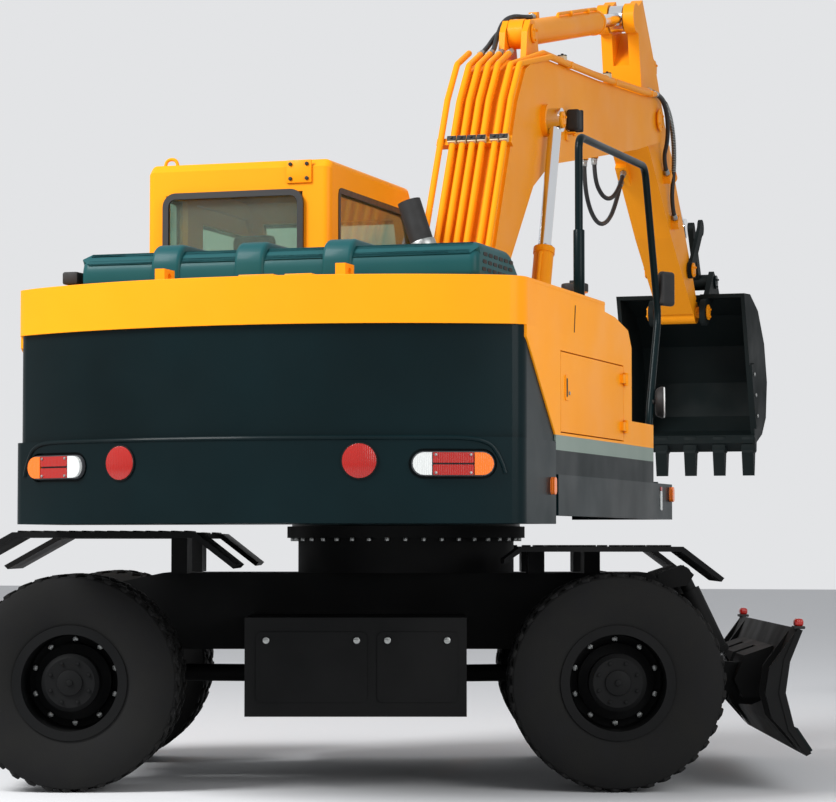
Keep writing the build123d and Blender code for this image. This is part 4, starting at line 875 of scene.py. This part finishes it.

# %% [markdown]
# ## Hoses
# The line of a hose is thickened into a tube, which is handed to neither of the two bodies that it joins. Steel
# couplings close both ends, each on the body at that end. The outer hose at the nose wears a steel spring against
# chafing, made of one ring that is copied along the line; the spring, too, is handed to no body.

# %% Hoses
HOSE_R, WIRE_R, WIRE_OUT, WIRE_PITCH = 15, 2.5, 1.5, 12
GUARD_FROM, GUARD_TO = 12, -10
# Radius, height, place along the hose, bevel and sides of the sleeve and of the nut.
COUPLING = ((19, 44, 24, 3, 24), (23, 16, 10, 2, 6))


def hose_line(points):
    """Places along the smooth line of a hose."""
    guide = smooth_line(points)
    mesh = bpy.data.meshes.new_from_object(guide)
    places = [vertex.co.copy() for vertex in mesh.vertices]
    bpy.data.objects.remove(guide)
    return places


def spring_guard(places, name):
    """Rings of spring wire along a hose, copied from one."""
    bpy.ops.object.select_all(action="DESELECT")
    bpy.ops.mesh.primitive_torus_add(major_radius=(HOSE_R + WIRE_OUT) * MM, minor_radius=WIRE_R * MM,
                                     major_segments=14, minor_segments=5)
    ring = bpy.context.object
    rings, gone = [], 0.0
    for a, b in zip(places, places[1:]):
        step = (b - a).length
        while gone < step:
            rings.append(copied(ring, a.lerp(b, gone / step), (b - a).to_track_quat("Z", "Y").to_euler()))
            gone += WIRE_PITCH * MM
        gone -= step
    bpy.data.objects.remove(ring)
    guard = keep(rings, name, None, zinc)
    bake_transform(guard)
    return guard


def hose(points, name, node, ends, guarded=False):
    """A hose, with a coupling at each end on the body at that end."""
    places = hose_line(points)
    piece = keep(tube(points, HOSE_R, 4), name, None, hose_rubber)
    if guarded:
        middle = places[GUARD_FROM:GUARD_TO]
        spring_guard(middle, name + "_spring")
    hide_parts(node)
    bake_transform(piece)
    for body, first, second in ((ends[0], points[0], points[1]), (ends[1], points[-1], points[-2])):
        way = (second - first).normalized()
        parts = [turned(radius, height, first + way * (along * MM), way, bevel, sides)
                 for radius, height, along, bevel, sides in COUPLING]
        keep(parts, name + "_coupling_" + body, body, zinc)


TO_CYLINDER, TO_ARM = ("boom", "arm_barrel"), ("boom", "arm")
hose(arm_hose_left, "arm_hose_left", "arm_hoses", TO_CYLINDER)
hose(arm_hose_right, "arm_hose_right", "arm_hoses", TO_CYLINDER)
hose(long_loop, "nose_hose_long", "nose_hoses", TO_ARM)
hose(short_loop, "nose_hose_short", "nose_hoses", TO_ARM)
hose(outer, "nose_hose_outer", "nose_hoses", TO_ARM, guarded=True)
hose(inner, "nose_hose_inner", "nose_hoses", TO_ARM)

# %% [markdown]
# ## Pipe clamps
# The boom's oil pipes lie in clamps of moulded plastic under a steel strap with one screw. The clamp is a bevelled
# block, tilted to the slope of the boom's back and set on each pipe. Two spare pipes are closed with stoppers.

# %% Pipe clamps
BOOM_X, BOOM_FACE = 110, 290


def clamp_row(xs, y, z, turn, reach, name):
    """Clamp halves over pipes, where the boom's back rises by turn degrees."""
    a = radians(turn)
    off = Vector((0, -sin(a), cos(a)))
    halves, straps = [], []
    for x in xs:
        place = spot(x, y, z) + off * (reach * MM)
        halves.append(slab((50, 44, 34), place + off * (10 * MM), 6, (a, 0, 0)))
        straps.append(slab((52, 30, 6), place + off * (30 * MM), 2, (a, 0, 0)))
        straps.append(turned(9, 10, place + off * (36 * MM), off, 2, 6))
    keep(halves, "clamps_" + name, "boom", cream)
    keep(straps, "clamp_straps_" + name, "boom", soot)


PIPE_X = [BOOM_X + x for x in (-150, -92, -34, 24, 100, 154)]
clamp_row(PIPE_X, 580, 2648, 61, 44, "low")
clamp_row(PIPE_X, 1000, 3444, 63, 44, "high")
for name, y, z, turn in (("back", 2200, 4061, 3), ("middle", 3300, 4127, 4)):
    clamp_row([BOOM_X + 156], y, z, turn, 46, name)

y, z = LOW_PIPE_END
low_pipe_way = Vector((0, 0.916, 0.402))
stoppers = []
for x in (76, 134):
    stoppers += [turned(23, 26, spot(x, y, z) + low_pipe_way * (4 * MM), low_pipe_way, 4, 6),
                 turned(15, 60, spot(x, y, z) + low_pipe_way * (35 * MM), low_pipe_way, 6, 20)]
keep(stoppers, "pipe_stoppers", "boom", zinc)
print("with the clamps", len(made_names))

# %% [markdown]
# ## Work lamp
# The lamp on the boom is a moulded housing with soft corners, a deep rim and a ribbed lens that looks along the
# boom. Two bevelled blocks give the housing its step, and a folded bracket carries it.

# %% Work lamp
LAMP_X, LAMP_HEIGHT = BOOM_FACE + 50, 3741

housing = [slab((78, 84, 126), spot(LAMP_X, 2196, LAMP_HEIGHT), 16, segments=4),
           slab((86, 22, 134), spot(LAMP_X, 2246, LAMP_HEIGHT), 8)]
housing = keep(housing, "work_lamp", "boom", soot)
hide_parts("boom_lamp")
lamp_front = plate(box_corners(-36, 36, -58, 58), spot(LAMP_X, 2256, LAMP_HEIGHT), (-1, 0, 0), UP, 5, 12)
keep(lamp_front, "work_lamp_lens", "boom", clear)
bracket = [slab((62, 70, 10), spot(BOOM_FACE + 31, 2205, 3664), 3),
           slab((10, 70, 60), spot(BOOM_FACE + 5, 2205, 3650), 3),
           turned(14, 18, spot(LAMP_X, 2205, 3655), UP, 3, 6)]
keep(bracket, "work_lamp_bracket", "boom", orange)
print("with the work lamp", len(made_names))

# %% [markdown]
# ## Pin keepers
# Every joint of the front turns on a pin, and a round plate with hexagon screws keeps the pin from walking out.
# One function makes such a plate; a table of pins says where, how large and on which body.

# %% Pin keepers
BOOM_LIFT_EYE, BUCKET_EAR = (1700, 3670), (6301.1, 3124.3)
ROCKER_PIN, CURL_FOOT = (5739.5, 3164.2), (4866.3, 4488.8)
KEEPER_THICK, CENTRE_SHARE, SCREW_SHARE, SCREW_START = 12, 0.35, 0.68, 0.6
# Place of the pin, half its length, radius of the plate, body and number of screws.
KEEPERS = {"nose": (ARM_NOSE, 192, 78, "boom", 4), "lift": (BOOM_LIFT_EYE, 288, 50, "boom", 3),
           "foot": (CYLINDER_FOOT, 88, 58, "boom", 3), "curl": (CURL_FOOT, 90, 52, "arm", 3),
           "rocker": (ROCKER_PIN, 166, 52, "arm", 3), "tip": (ARM_TIP, 214, 56, "arm", 4),
           "ear": (BUCKET_EAR, 210, 50, "bucket", 3)}


def keeper(name, side, word):
    """A keeper plate with its screws on one end of a pin."""
    yz, reach, radius, body, screws = KEEPERS[name]
    out = Vector((side, 0, 0))
    place = spot(BOOM_X + side * reach, *yz) + out * (KEEPER_THICK / 2 * MM)
    pieces = [turned(radius, KEEPER_THICK, place, out, 3, 36),
              turned(radius * CENTRE_SHARE, KEEPER_THICK + 4, place, out, 3, 24)]
    for k in range(screws):
        a = 2 * pi * k / screws + SCREW_START
        spoke = Vector((0, cos(a), sin(a))) * (radius * SCREW_SHARE * MM)
        pieces.append(turned(8, 10, place + spoke + out * (10 * MM), out, 2, 6))
    keep(pieces, "keeper_" + name + "_" + word, body, orange if body in ("boom", "arm") else green)


for side, word in ((1, "right"), (-1, "left")):
    for name in KEEPERS:
        keeper(name, side, word)
print("boom fittings", len(made_names))

# %% [markdown]
# ## Cylinders: head screws and feed pipes
# A cylinder's head is screwed to its barrel by a ring of socket screws. A bent steel pipe along each barrel
# brings the oil to the head end, held by two small saddles. All is placed along the cylinder's own axis, because
# the four cylinders lean in different directions.

# %% Cylinder fittings
LIFT_FOOT, LIFT_OFF = (1030, 1660), 250
LINK_PIN = (6078.7, 3503.7)
FEED_R, FEED_DIP, FEED_BEND, FEED_BOW, SADDLES = 11, 26, 50, 2, (0.3, 0.75)


def head_screws(place_at, x, t, radius, name, body, count=8):
    """Screws on the head of a barrel that ends at t."""
    middle, next_one = place_at(x, t, 0), place_at(x, t + 100, 0)
    way = (next_one - middle).normalized()
    lift = (place_at(x, t, 100) - middle).normalized()
    across = way.cross(lift)
    screws = []
    for k in range(count):
        a = 2 * pi * (k + 0.5) / count
        place = middle + (lift * cos(a) + across * sin(a)) * (radius * MM)
        screws.append(turned(8, 12, place + way * (4 * MM), way, 2, 6))
    keep(screws, "head_screws_" + name, body, zinc)


def feed_pipe(place_at, x, start, end, n, name, body):
    """A pipe along a barrel from start to end, that dips to the barrel at both ends, with two saddles."""
    heights = ((start, n - FEED_DIP), (start, n), (start + FEED_BEND, n + FEED_BOW),
               (end - FEED_BEND, n + FEED_BOW), (end, n), (end, n - FEED_DIP))
    pieces = [tube([place_at(x, t, height) for t, height in heights], FEED_R)]
    lean = (place_at(x, 100, 0) - place_at(x, 0, 0)).to_track_quat("Y", "Z").to_euler()
    for share in SADDLES:
        pieces.append(slab((46, 26, 30), place_at(x, start + (end - start) * share, n - 6), 5, lean))
    keep(pieces, "feed_pipe_" + name, body, orange)


on_lift, on_curl = beside(LIFT_FOOT, BOOM_LIFT_EYE), beside(CURL_FOOT, LINK_PIN)
head_screws(on_barrel, BOOM_X, 1824, 64, "arm", "arm_barrel", 10)
feed_pipe(on_barrel, BOOM_X + 30, 800, 1770, 88, "arm", "arm_barrel")
head_screws(on_curl, BOOM_X, 1060, 51, "curl", "curl_barrel")
feed_pipe(on_curl, BOOM_X + 20, 260, 1010, 76, "curl", "curl_barrel")
for side, word in ((1, "right"), (-1, "left")):
    x = BOOM_X + side * LIFT_OFF
    head_screws(on_lift, x, 1300, 48, "lift_" + word, "lift_barrels")
    feed_pipe(on_lift, x, 300, 1250, 70, "lift_" + word, "lift_barrels")
print("cylinder fittings", len(made_names))

# %% [markdown]
# ## Bucket: side cutters, tooth holders and wear strips
# The bucket's cutting parts are bolted or welded on and wear out first. The side cutters are plates along the
# mouth's edges, each tooth sits on a broad holder, and flat strips protect the round back. Each strip follows
# one facet of the shell, from corner to corner, so it lies flat where a bent strip would need a second curve.

# %% Bucket fittings
BUCKET_HALF, TEETH = 477, 5
MOUTH_EDGE = [(212, -377), (372, -838), (476, -802), (400, -620), (330, -350)]
BUCKET_BACK = [(770, -185), (870, -465), (820, -735), (670, -865), (450, -935)]
TOOTH_EDGE, STRIP_PLACES = 45, (-330, -110, 110, 330)

for side, word in ((1, "right"), (-1, "left")):
    face = spot(BOOM_X + side * BUCKET_HALF, *ARM_TIP)
    cutter = plate(facing(side, MOUTH_EDGE), face, (0, side, 0), UP, 16, 12)
    keep(cutter, "side_cutter_" + word, "bucket", digging)
    screws = [turned(15, 12, face + Vector((side * 21, dy, dz)) * MM, (side, 0, 0), 3, 6)
              for dy, dz in ((290, -440), (345, -590), (400, -740))]
    keep(screws, "side_cutter_screws_" + word, "bucket", zinc)
first_tooth = BOOM_X - BUCKET_HALF + TOOTH_EDGE
pitch = 2 * (BUCKET_HALF - TOOTH_EDGE) / (TEETH - 1)
holders = []
for k in range(TEETH):
    place = spot(first_tooth + k * pitch, ARM_TIP[0] + 392, ARM_TIP[1] - 950)
    holders.append(slab((106, 96, 120), place, 16, (radians(-6), 0, 0)))
keep(holders, "tooth_holders", "bucket", digging)
strips = []
for (y0, z0), (y1, z1) in zip(BUCKET_BACK, BUCKET_BACK[1:]):
    length = sqrt((y1 - y0) ** 2 + (z1 - z0) ** 2)
    out_y, out_z = -(z1 - z0) / length, (y1 - y0) / length
    middle = (ARM_TIP[0] + (y0 + y1) / 2 + out_y * 6, ARM_TIP[1] + (z0 + z1) / 2 + out_z * 6)
    for x in STRIP_PLACES:
        strips.append(slab((80, length - 12, 16), spot(BOOM_X + x, *middle), 4, (atan2(z1 - z0, y1 - y0), 0, 0)))
keep(strips, "wear_strips", "bucket", digging)
print("bucket fittings", len(made_names))

# %% [markdown]
# ## One tyre
# A tyre is a closed section spun about its axle, with a bulged flank, a rounded shoulder and a flat tread. The
# lugs are blocks in two rows that lean against each other, one block copied round the tread. A texture could draw
# the lugs, but they show in the outline, so they are real.

# %% One tyre
# Radius and half width of the section, from the bead to the tread.
FLANK = [(256, 95), (300, 112), (360, 125), (400, 127), (440, 126), (480, 118), (505, 106), (513, 92)]
LUGS, LUG_R, LUG_OFF, LUG_LEAN = 38, 514.5, 52, 0.35
LUG_SIZE, TYRE_STEPS = (22, 98, 40), 72


def tyre():
    """A carcass with its lugs, at the origin, with its axle along y."""
    section = FLANK + [(r, -out) for r, out in reversed(FLANK)]
    bpy.ops.object.select_all(action="DESELECT")
    bpy.ops.mesh.primitive_circle_add(vertices=len(section))
    ring = bpy.context.object
    for vertex, (r, out) in zip(ring.data.vertices, section):
        vertex.co = (r * MM, out * MM, 0)

    def spun():
        bpy.ops.mesh.spin(steps=TYRE_STEPS, angle=2 * pi, center=(0, 0, 0), axis=(0, 1, 0))
        bpy.ops.mesh.select_all(action="SELECT")
        bpy.ops.mesh.remove_doubles(threshold=0.2 * MM)
        bpy.ops.mesh.normals_make_consistent(inside=False)

    edit(spun)
    lug = slab(LUG_SIZE, (0, 0, 0), 5, segments=1)
    pieces = [ring]
    for k in range(2 * LUGS):
        a, row = pi * k / LUGS, 1 if k % 2 else -1
        place = Vector((cos(a) * LUG_R, row * LUG_OFF, sin(a) * LUG_R)) * MM
        pieces.append(copied(lug, place, Euler((row * LUG_LEAN, -a, 0), "XYZ")))
    bpy.data.objects.remove(lug)
    return joined(pieces)


pattern = tyre()
print("tyre", len(pattern.data.polygons), "faces")

# %% [markdown]
# ## Wheels
# The pattern tyre is copied to the eight places of the twin wheels, each with its own mesh. The nuts sit in a ring
# on the wheel's disc, and screws close the hub's cover.

# %% Wheels
AXLE_X, HALF_TRACK, TYRE_R, TWIN = {"front": -1620, "rear": 1030}, 957, 527, 165
DISC_OUT, HUB_OUT, TYRE_TURN = 977, 1215, 0.3
WHEEL_NUTS, NUT_R, HUB_SCREWS, HUB_R = 10, 205, 8, 100
TURN = radians(SLEW_REST)


def under_way(x, y, z=0):
    """A direction of the undercarriage in the frame."""
    return under(x, y, z) - under(0, 0, 0)


def ring_of(count, radius, place, out, make):
    """Copies in a ring about an axle."""
    side_way = out.cross(UP)
    made = []
    for k in range(count):
        a = 2 * pi * (k + 0.5) / count
        made.append(make(place + (UP * sin(a) + side_way * cos(a)) * (radius * MM)))
    return made


def wheel(end, side, word):
    """Both tyres, the nuts and the hub's cover of one wheel."""
    body = end + "_wheel_" + word
    x = AXLE_X[end]
    out = under_way(0, side).normalized()
    pair = [copied(pattern, under(x, side * HALF_TRACK + off, TYRE_R), (0, TYRE_TURN, TURN))
            for off in (-TWIN, TWIN)]
    treads = keep(pair, end + "_tread_" + word, body, rubber, 28)
    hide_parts(end + "_tyres_" + word)
    disc, hub = under(x, side * DISC_OUT, TYRE_R), under(x, side * HUB_OUT, TYRE_R)
    nuts = ring_of(WHEEL_NUTS, NUT_R, disc, out, lambda p: turned(16, 26, p + out * (11 * MM), out, 3, 6))
    keep(nuts, end + "_nuts_" + word, body, zinc)
    cover = ring_of(HUB_SCREWS, HUB_R, hub, out, lambda p: turned(9, 12, p + out * (4 * MM), out, 2, 6))
    cover.append(turned(62, 16, hub + out * (5 * MM), out, 5, 32))
    cover.append(turned(17, 14, hub + out * (16 * MM), out, 3, 6))
    keep(cover, end + "_hub_" + word, body, black)


for end in ("front", "rear"):
    for side, word in ((-1, "left"), (1, "right")):
        wheel(end, side, word)
bpy.data.objects.remove(pattern)
print("wheels", len(made_names))

# %% [markdown]
# ## Side boxes and grip bars
# The side boxes of the undercarriage have doors with round corners and turn latches. Grip bars keep a boot from
# slipping on the mudguards. The pieces are placed along the undercarriage's own axes and turned with them.

# %% Side boxes and grip bars
BOX_FACE, BOX_Z, LATCH_IN, LATCH_UP = 1150, 600, 50, 130
# Middle and half length of each door.
BOX_DOORS = ((-455, 270), (60, 195))
GUARD_MIDDLE, BAR_PITCH = 942, 62
# Height, start and end of each row of bars.
GUARD_SPANS = ((1188, 600, 1341), (1258, -1870, -1030))

for side, word in ((-1, "left"), (1, "right")):
    out = under_way(0, side).normalized()
    doors, latches = [], []
    for x, half in BOX_DOORS:
        face = under(x, side * BOX_FACE, BOX_Z)
        doors.append(plate(box_corners(-half, half, -170, 170), face, under_way(-side, 0), UP, 6, 26))
        for off in (LATCH_IN - half, half - LATCH_IN):
            place = face + under_way(-side, 0).normalized() * (off * MM) + UP * (LATCH_UP * MM)
            latches.append(turned(17, 14, place + out * (8 * MM), out, 4, 20))
            latches.append(slab((30, 7, 9), place + out * (16 * MM), 2, (0, 0, TURN)))
    keep(doors, "box_doors_" + word, "undercarriage", black)
    keep(latches, "box_latches_" + word, "undercarriage", zinc)
    bars = []
    for z, start, stop in GUARD_SPANS:
        for x in range(start, stop, BAR_PITCH):
            bars.append(slab((20, 520, 10), under(x, side * GUARD_MIDDLE, z), 3, (0, 0, TURN)))
    keep(bars, "grip_bars_" + word, "undercarriage", black)
print("with the side boxes", len(made_names))

# %% [markdown]
# ## Slew ring and blade
# A ring of screws holds the slew ring from below. A hard cutting edge is screwed to the blade, with countersunk
# screws that it keeps when it wears, and red lamps on the blade's top corners show its width.

# %% Slew ring and blade
RING_SCREWS, RING_R, RING_Z = 40, 596, 1222
EDGE_X, EDGE_Z, EDGE_LEAN = 1925, 254, radians(-33.7)
BLADE_LAMP_X, BLADE_LAMP_Y = 1908, 1180

ring_screws = []
for k in range(RING_SCREWS):
    a = 2 * pi * k / RING_SCREWS
    ring_screws.append(turned(13, 18, under(RING_R * cos(a), RING_R * sin(a), RING_Z), UP, 2, 6))
keep(ring_screws, "slew_ring_screws", "undercarriage", zinc)
edge = [slab((14, 2466, 130), under(EDGE_X, 0, EDGE_Z), 3, (0, EDGE_LEAN, TURN))]
front = under_way(cos(EDGE_LEAN), 0, -sin(EDGE_LEAN)).normalized()
for y in range(-1120, 1121, 224):
    edge.append(turned(17, 10, under(EDGE_X, y, EDGE_Z) + front * (9 * MM), front, 3, 20))
keep(edge, "cutting_edge", "blade", digging)
feet = [slab((56, 90, 14), under(BLADE_LAMP_X, s * BLADE_LAMP_Y, 794), 4, (0, 0, TURN)) for s in (-1, 1)]
keep(feet, "blade_lamp_feet", "blade", soot)
domes = [slab((44, 76, 38), under(BLADE_LAMP_X, s * BLADE_LAMP_Y, 818), 14, (0, 0, TURN), 4) for s in (-1, 1)]
keep(domes, "blade_lamps", "blade", red)
print("undercarriage fittings", len(made_names))

# %% [markdown]
# ## Seat cushions
# The seat has a thick cushion, a back and a headrest, all of foam under fabric. Each starts as a rounded block;
# a cloth skin over it is blown up a little, so that the faces crown and the edges stay soft, as foam does under
# a tight cover. The skin's way out is capped, because foam does not stretch its cover further than that.

# %% Seat cushions
NET, PUFF, PRESSURE, CLOTH_STEPS = 13, 10, 4, 20


def cushion(size, place, lean, name):
    """A rounded block whose skin is blown up as cloth, by PUFF millimetres at most."""
    made = slab([v - 2 * PUFF for v in size], place, 34, (radians(lean), 0, 0), 4)
    bpy.ops.object.transform_apply(location=True, rotation=True, scale=True)
    net = made.modifiers.new("net", "REMESH")
    net.mode, net.voxel_size = "VOXEL", NET * MM
    bpy.ops.object.modifier_apply(modifier=net.name)
    before = [vertex.co.copy() for vertex in made.data.vertices]
    skin = made.modifiers.new("skin", "CLOTH")
    skin.settings.use_pressure = True
    skin.settings.uniform_pressure_force = PRESSURE
    skin.settings.effector_weights.gravity = 0
    skin.point_cache.frame_start, skin.point_cache.frame_end = 1, CLOTH_STEPS
    for step in range(1, CLOTH_STEPS + 1):
        bpy.context.scene.frame_set(step)
    bpy.ops.object.modifier_apply(modifier=skin.name)
    bpy.context.scene.frame_set(1)
    moves = [vertex.co - start for vertex, start in zip(made.data.vertices, before)]
    for vertex, start, move in zip(made.data.vertices, before, moves):
        vertex.co = start + move * min(1.0, PUFF * MM / max(move.length, 1e-9))
    print(name, "swelled by", round(max(move.length for move in moves) / MM, 1), "mm before the cap")
    smooth = made.modifiers.new("smooth", "SUBSURF")
    smooth.levels = 1
    bpy.ops.object.modifier_apply(modifier=smooth.name)
    keep(made, name, "upper", fabric, 60)


cushion((500, 540, 130), spot(CAB_MIDDLE, 50, 2000), 0, "seat_cushion")
cushion((460, 110, 640), spot(CAB_MIDDLE, -305, 2325), 7, "seat_back")
cushion((260, 84, 190), spot(CAB_MIDDLE, -352, 2735), 5, "seat_headrest")

# %% [markdown]
# ## Seat base, grips and screen
# The seat stands on a steel box with a pan and a shell behind the back. The grips on the levers are moulded, each
# a tapered turned piece with a collar and a head, and a screen on a post stands by the pillar.

# %% Seat base, grips and screen
LEVER_OFF = 340

base = [slab((400, 420, 330), spot(CAB_MIDDLE, 30, 1770), 20, segments=3),
        slab((470, 500, 26), spot(CAB_MIDDLE, 50, 1945), 8),
        slab((300, 30, 420), spot(CAB_MIDDLE, -345, 2220), 8, (radians(7), 0, 0))]
base = keep(base, "seat_base", "upper", soot)
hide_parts("operator_seat")
grips = []
for side in (-1, 1):
    top = spot(CAB_MIDDLE + side * LEVER_OFF, 312, 2372)
    grips.append(turned(24, 120, top + UP * (30 * MM), (0, 0.1, 1), 8, 24, 29))
    grips.append(turned(34, 30, top - UP * (50 * MM), UP, 8, 24))
    grips.append(slab((44, 40, 34), top + UP * (94 * MM), 12, segments=3))
keep(grips, "lever_grips", "upper", soot)
screen = [slab((190, 34, 140), spot(-330, 905, 2330), 10, (radians(-14), 0, radians(-20)), 3),
          turned(14, 240, spot(-330, 920, 2180), UP, 3, 16)]
keep(screen, "monitor", "upper", interior)
print("operator's place", len(made_names))

# %% [markdown]
# ## Handrail and mirror
# The rail is one bent pipe from the cover over the right walkway down to the deck, with a thicker sleeve at its
# rear post. A smooth spline through its corners would bow between them, so each corner gets one more point before
# and after it. A small mirror with a rounded shell stands out from the rail on a stalk.

# %% Handrail and mirror
RAIL_X, RAIL_R, RAIL_BEND = 1130, 20, 150
RAIL_CORNERS = [(-700, 2393), (-700, 3215), (700, 3240), (1000, 2450), (780, 1900), (780, 1520)]
SHELL_TURN, GLASS_OUT = radians(65), 21.5


def with_bends(points, bend):
    """The points of a pipe, with one more before and after each corner so that only the corner is round."""
    route = [points[0]]
    for before, corner, after in zip(points, points[1:], points[2:]):
        route += [corner + (before - corner).normalized() * (bend * MM), corner,
                  corner + (after - corner).normalized() * (bend * MM)]
    return route + [points[-1]]


rail = [spot(RAIL_X, y, z) for y, z in RAIL_CORNERS]
post = [tube(with_bends(rail, RAIL_BEND), RAIL_R, 5), turned(28, 357, spot(RAIL_X, -700, 2571), UP, 5, 28),
        turned(52, 14, spot(RAIL_X, -700, 2400), UP, 4, 28), turned(48, 14, spot(RAIL_X, 780, 1527), UP, 4, 28)]
post = keep(post, "handrail_pipe", "upper", green)
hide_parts("handrail")
shell = spot(RAIL_X + 45, 1010, 2600)
stalk = tube([spot(RAIL_X, 950, 2583), spot(RAIL_X + 20, 985, 2590), shell], 12, 4)
keep([slab((116, 44, 190), shell, 20, (0, 0, SHELL_TURN), 5), stalk], "mirror_shell", "upper", soot)
look = Vector((-sin(SHELL_TURN), cos(SHELL_TURN), 0))
pane = plate(box_corners(-46, 46, -82, 82), shell + look * (GLASS_OUT * MM), -look.cross(UP), UP, 2, 24, 0, 6)
keep(pane, "mirror_glass", "upper", mirror)
print("rail and mirror", len(made_names))

# %% [markdown]
# ## Studio
# The floor is plain and pale, and the world is a soft light all round. A world bright enough for a pale background
# would light the machine flat, so the light path tells the two apart: what the camera sees, straight or in a
# reflection, is brighter than what lights the paint.

# %% Studio
WORLD_LIGHT, WORLD_SHOWN = 0.55, 1.0


def studio():
    """The floor and the world."""
    bpy.ops.object.select_all(action="DESELECT")
    bpy.ops.mesh.primitive_plane_add(size=120, location=(0, 0, -1 * MM))
    floor = bpy.context.object
    floor.name = "floor"
    floor.data.materials.append(finish("pale_floor", "#D9DADC", 0.85, 0.95, 900))
    world = bpy.context.scene.world or bpy.data.worlds.new("studio")
    bpy.context.scene.world = world
    world.use_nodes = True
    tree = world.node_tree
    tree.nodes.clear()
    ray = add(tree, "ShaderNodeLightPath")
    seen = add(tree, "ShaderNodeMath", {0: ray.outputs["Is Camera Ray"], 1: ray.outputs["Is Glossy Ray"]},
               operation="MAXIMUM")
    seen = add(tree, "ShaderNodeMath", {0: seen.outputs[0], 1: ray.outputs["Is Transmission Ray"]},
               operation="MAXIMUM")
    light = add(tree, "ShaderNodeBackground", {"Color": colour("#F2F4F7"), "Strength": WORLD_LIGHT})
    shown = add(tree, "ShaderNodeBackground", {"Color": colour("#E3E4E6"), "Strength": WORLD_SHOWN})
    mix = add(tree, "ShaderNodeMixShader", {0: seen.outputs[0], 1: light.outputs[0], 2: shown.outputs[0]})
    add(tree, "ShaderNodeOutputWorld", {"Surface": mix.outputs[0]})


studio()
print("studio", bpy.context.scene.world.name)

# %% [markdown]
# ## Lamps and camera
# One large lamp high on the left gives the top faces their bright edge, and a weaker one keeps the right side
# readable; large lamps have soft shadows. The camera stands low behind the machine, to its right, with a long
# lens, as a photographer would to keep the boom in the frame. Its focal length was worked out in pixels, so it is
# turned into millimetres on the sensor.

# %% Lamps and camera
LENS_PX, PHOTO_WIDTH, SENSOR = 2862, 836, 36.0
CAMERA_PLACE, YAW, PITCH = spot(4726, -14341, 1193), 18.0, 2.88
KEY_POWER, FILL_POWER, LAMP_SIZE = 2600, 520, 6


def lamp(name, place, target, power):
    """A square area lamp that looks at a target."""
    bpy.ops.object.light_add(type="AREA", location=place)
    light = bpy.context.object
    light.name = name
    light.data.energy = power
    light.data.size = LAMP_SIZE
    light.rotation_euler = (target - place).to_track_quat("-Z", "Y").to_euler()


def camera():
    """The camera of the main picture."""
    bpy.ops.object.camera_add(location=CAMERA_PLACE, rotation=(radians(90 + PITCH), 0, radians(YAW)))
    view = bpy.context.object
    view.data.sensor_width = SENSOR
    view.data.lens = LENS_PX * SENSOR / PHOTO_WIDTH
    bpy.context.scene.camera = view


middle = spot(0, 800, 2000)
lamp("key", spot(-6500, -9000, 11000), middle, KEY_POWER)
lamp("fill", spot(9000, -6000, 5000), middle, FILL_POWER)
camera()
bpy.context.scene.view_settings.view_transform = "Standard"
print("camera lens", round(bpy.context.scene.camera.data.lens, 1), "mm")
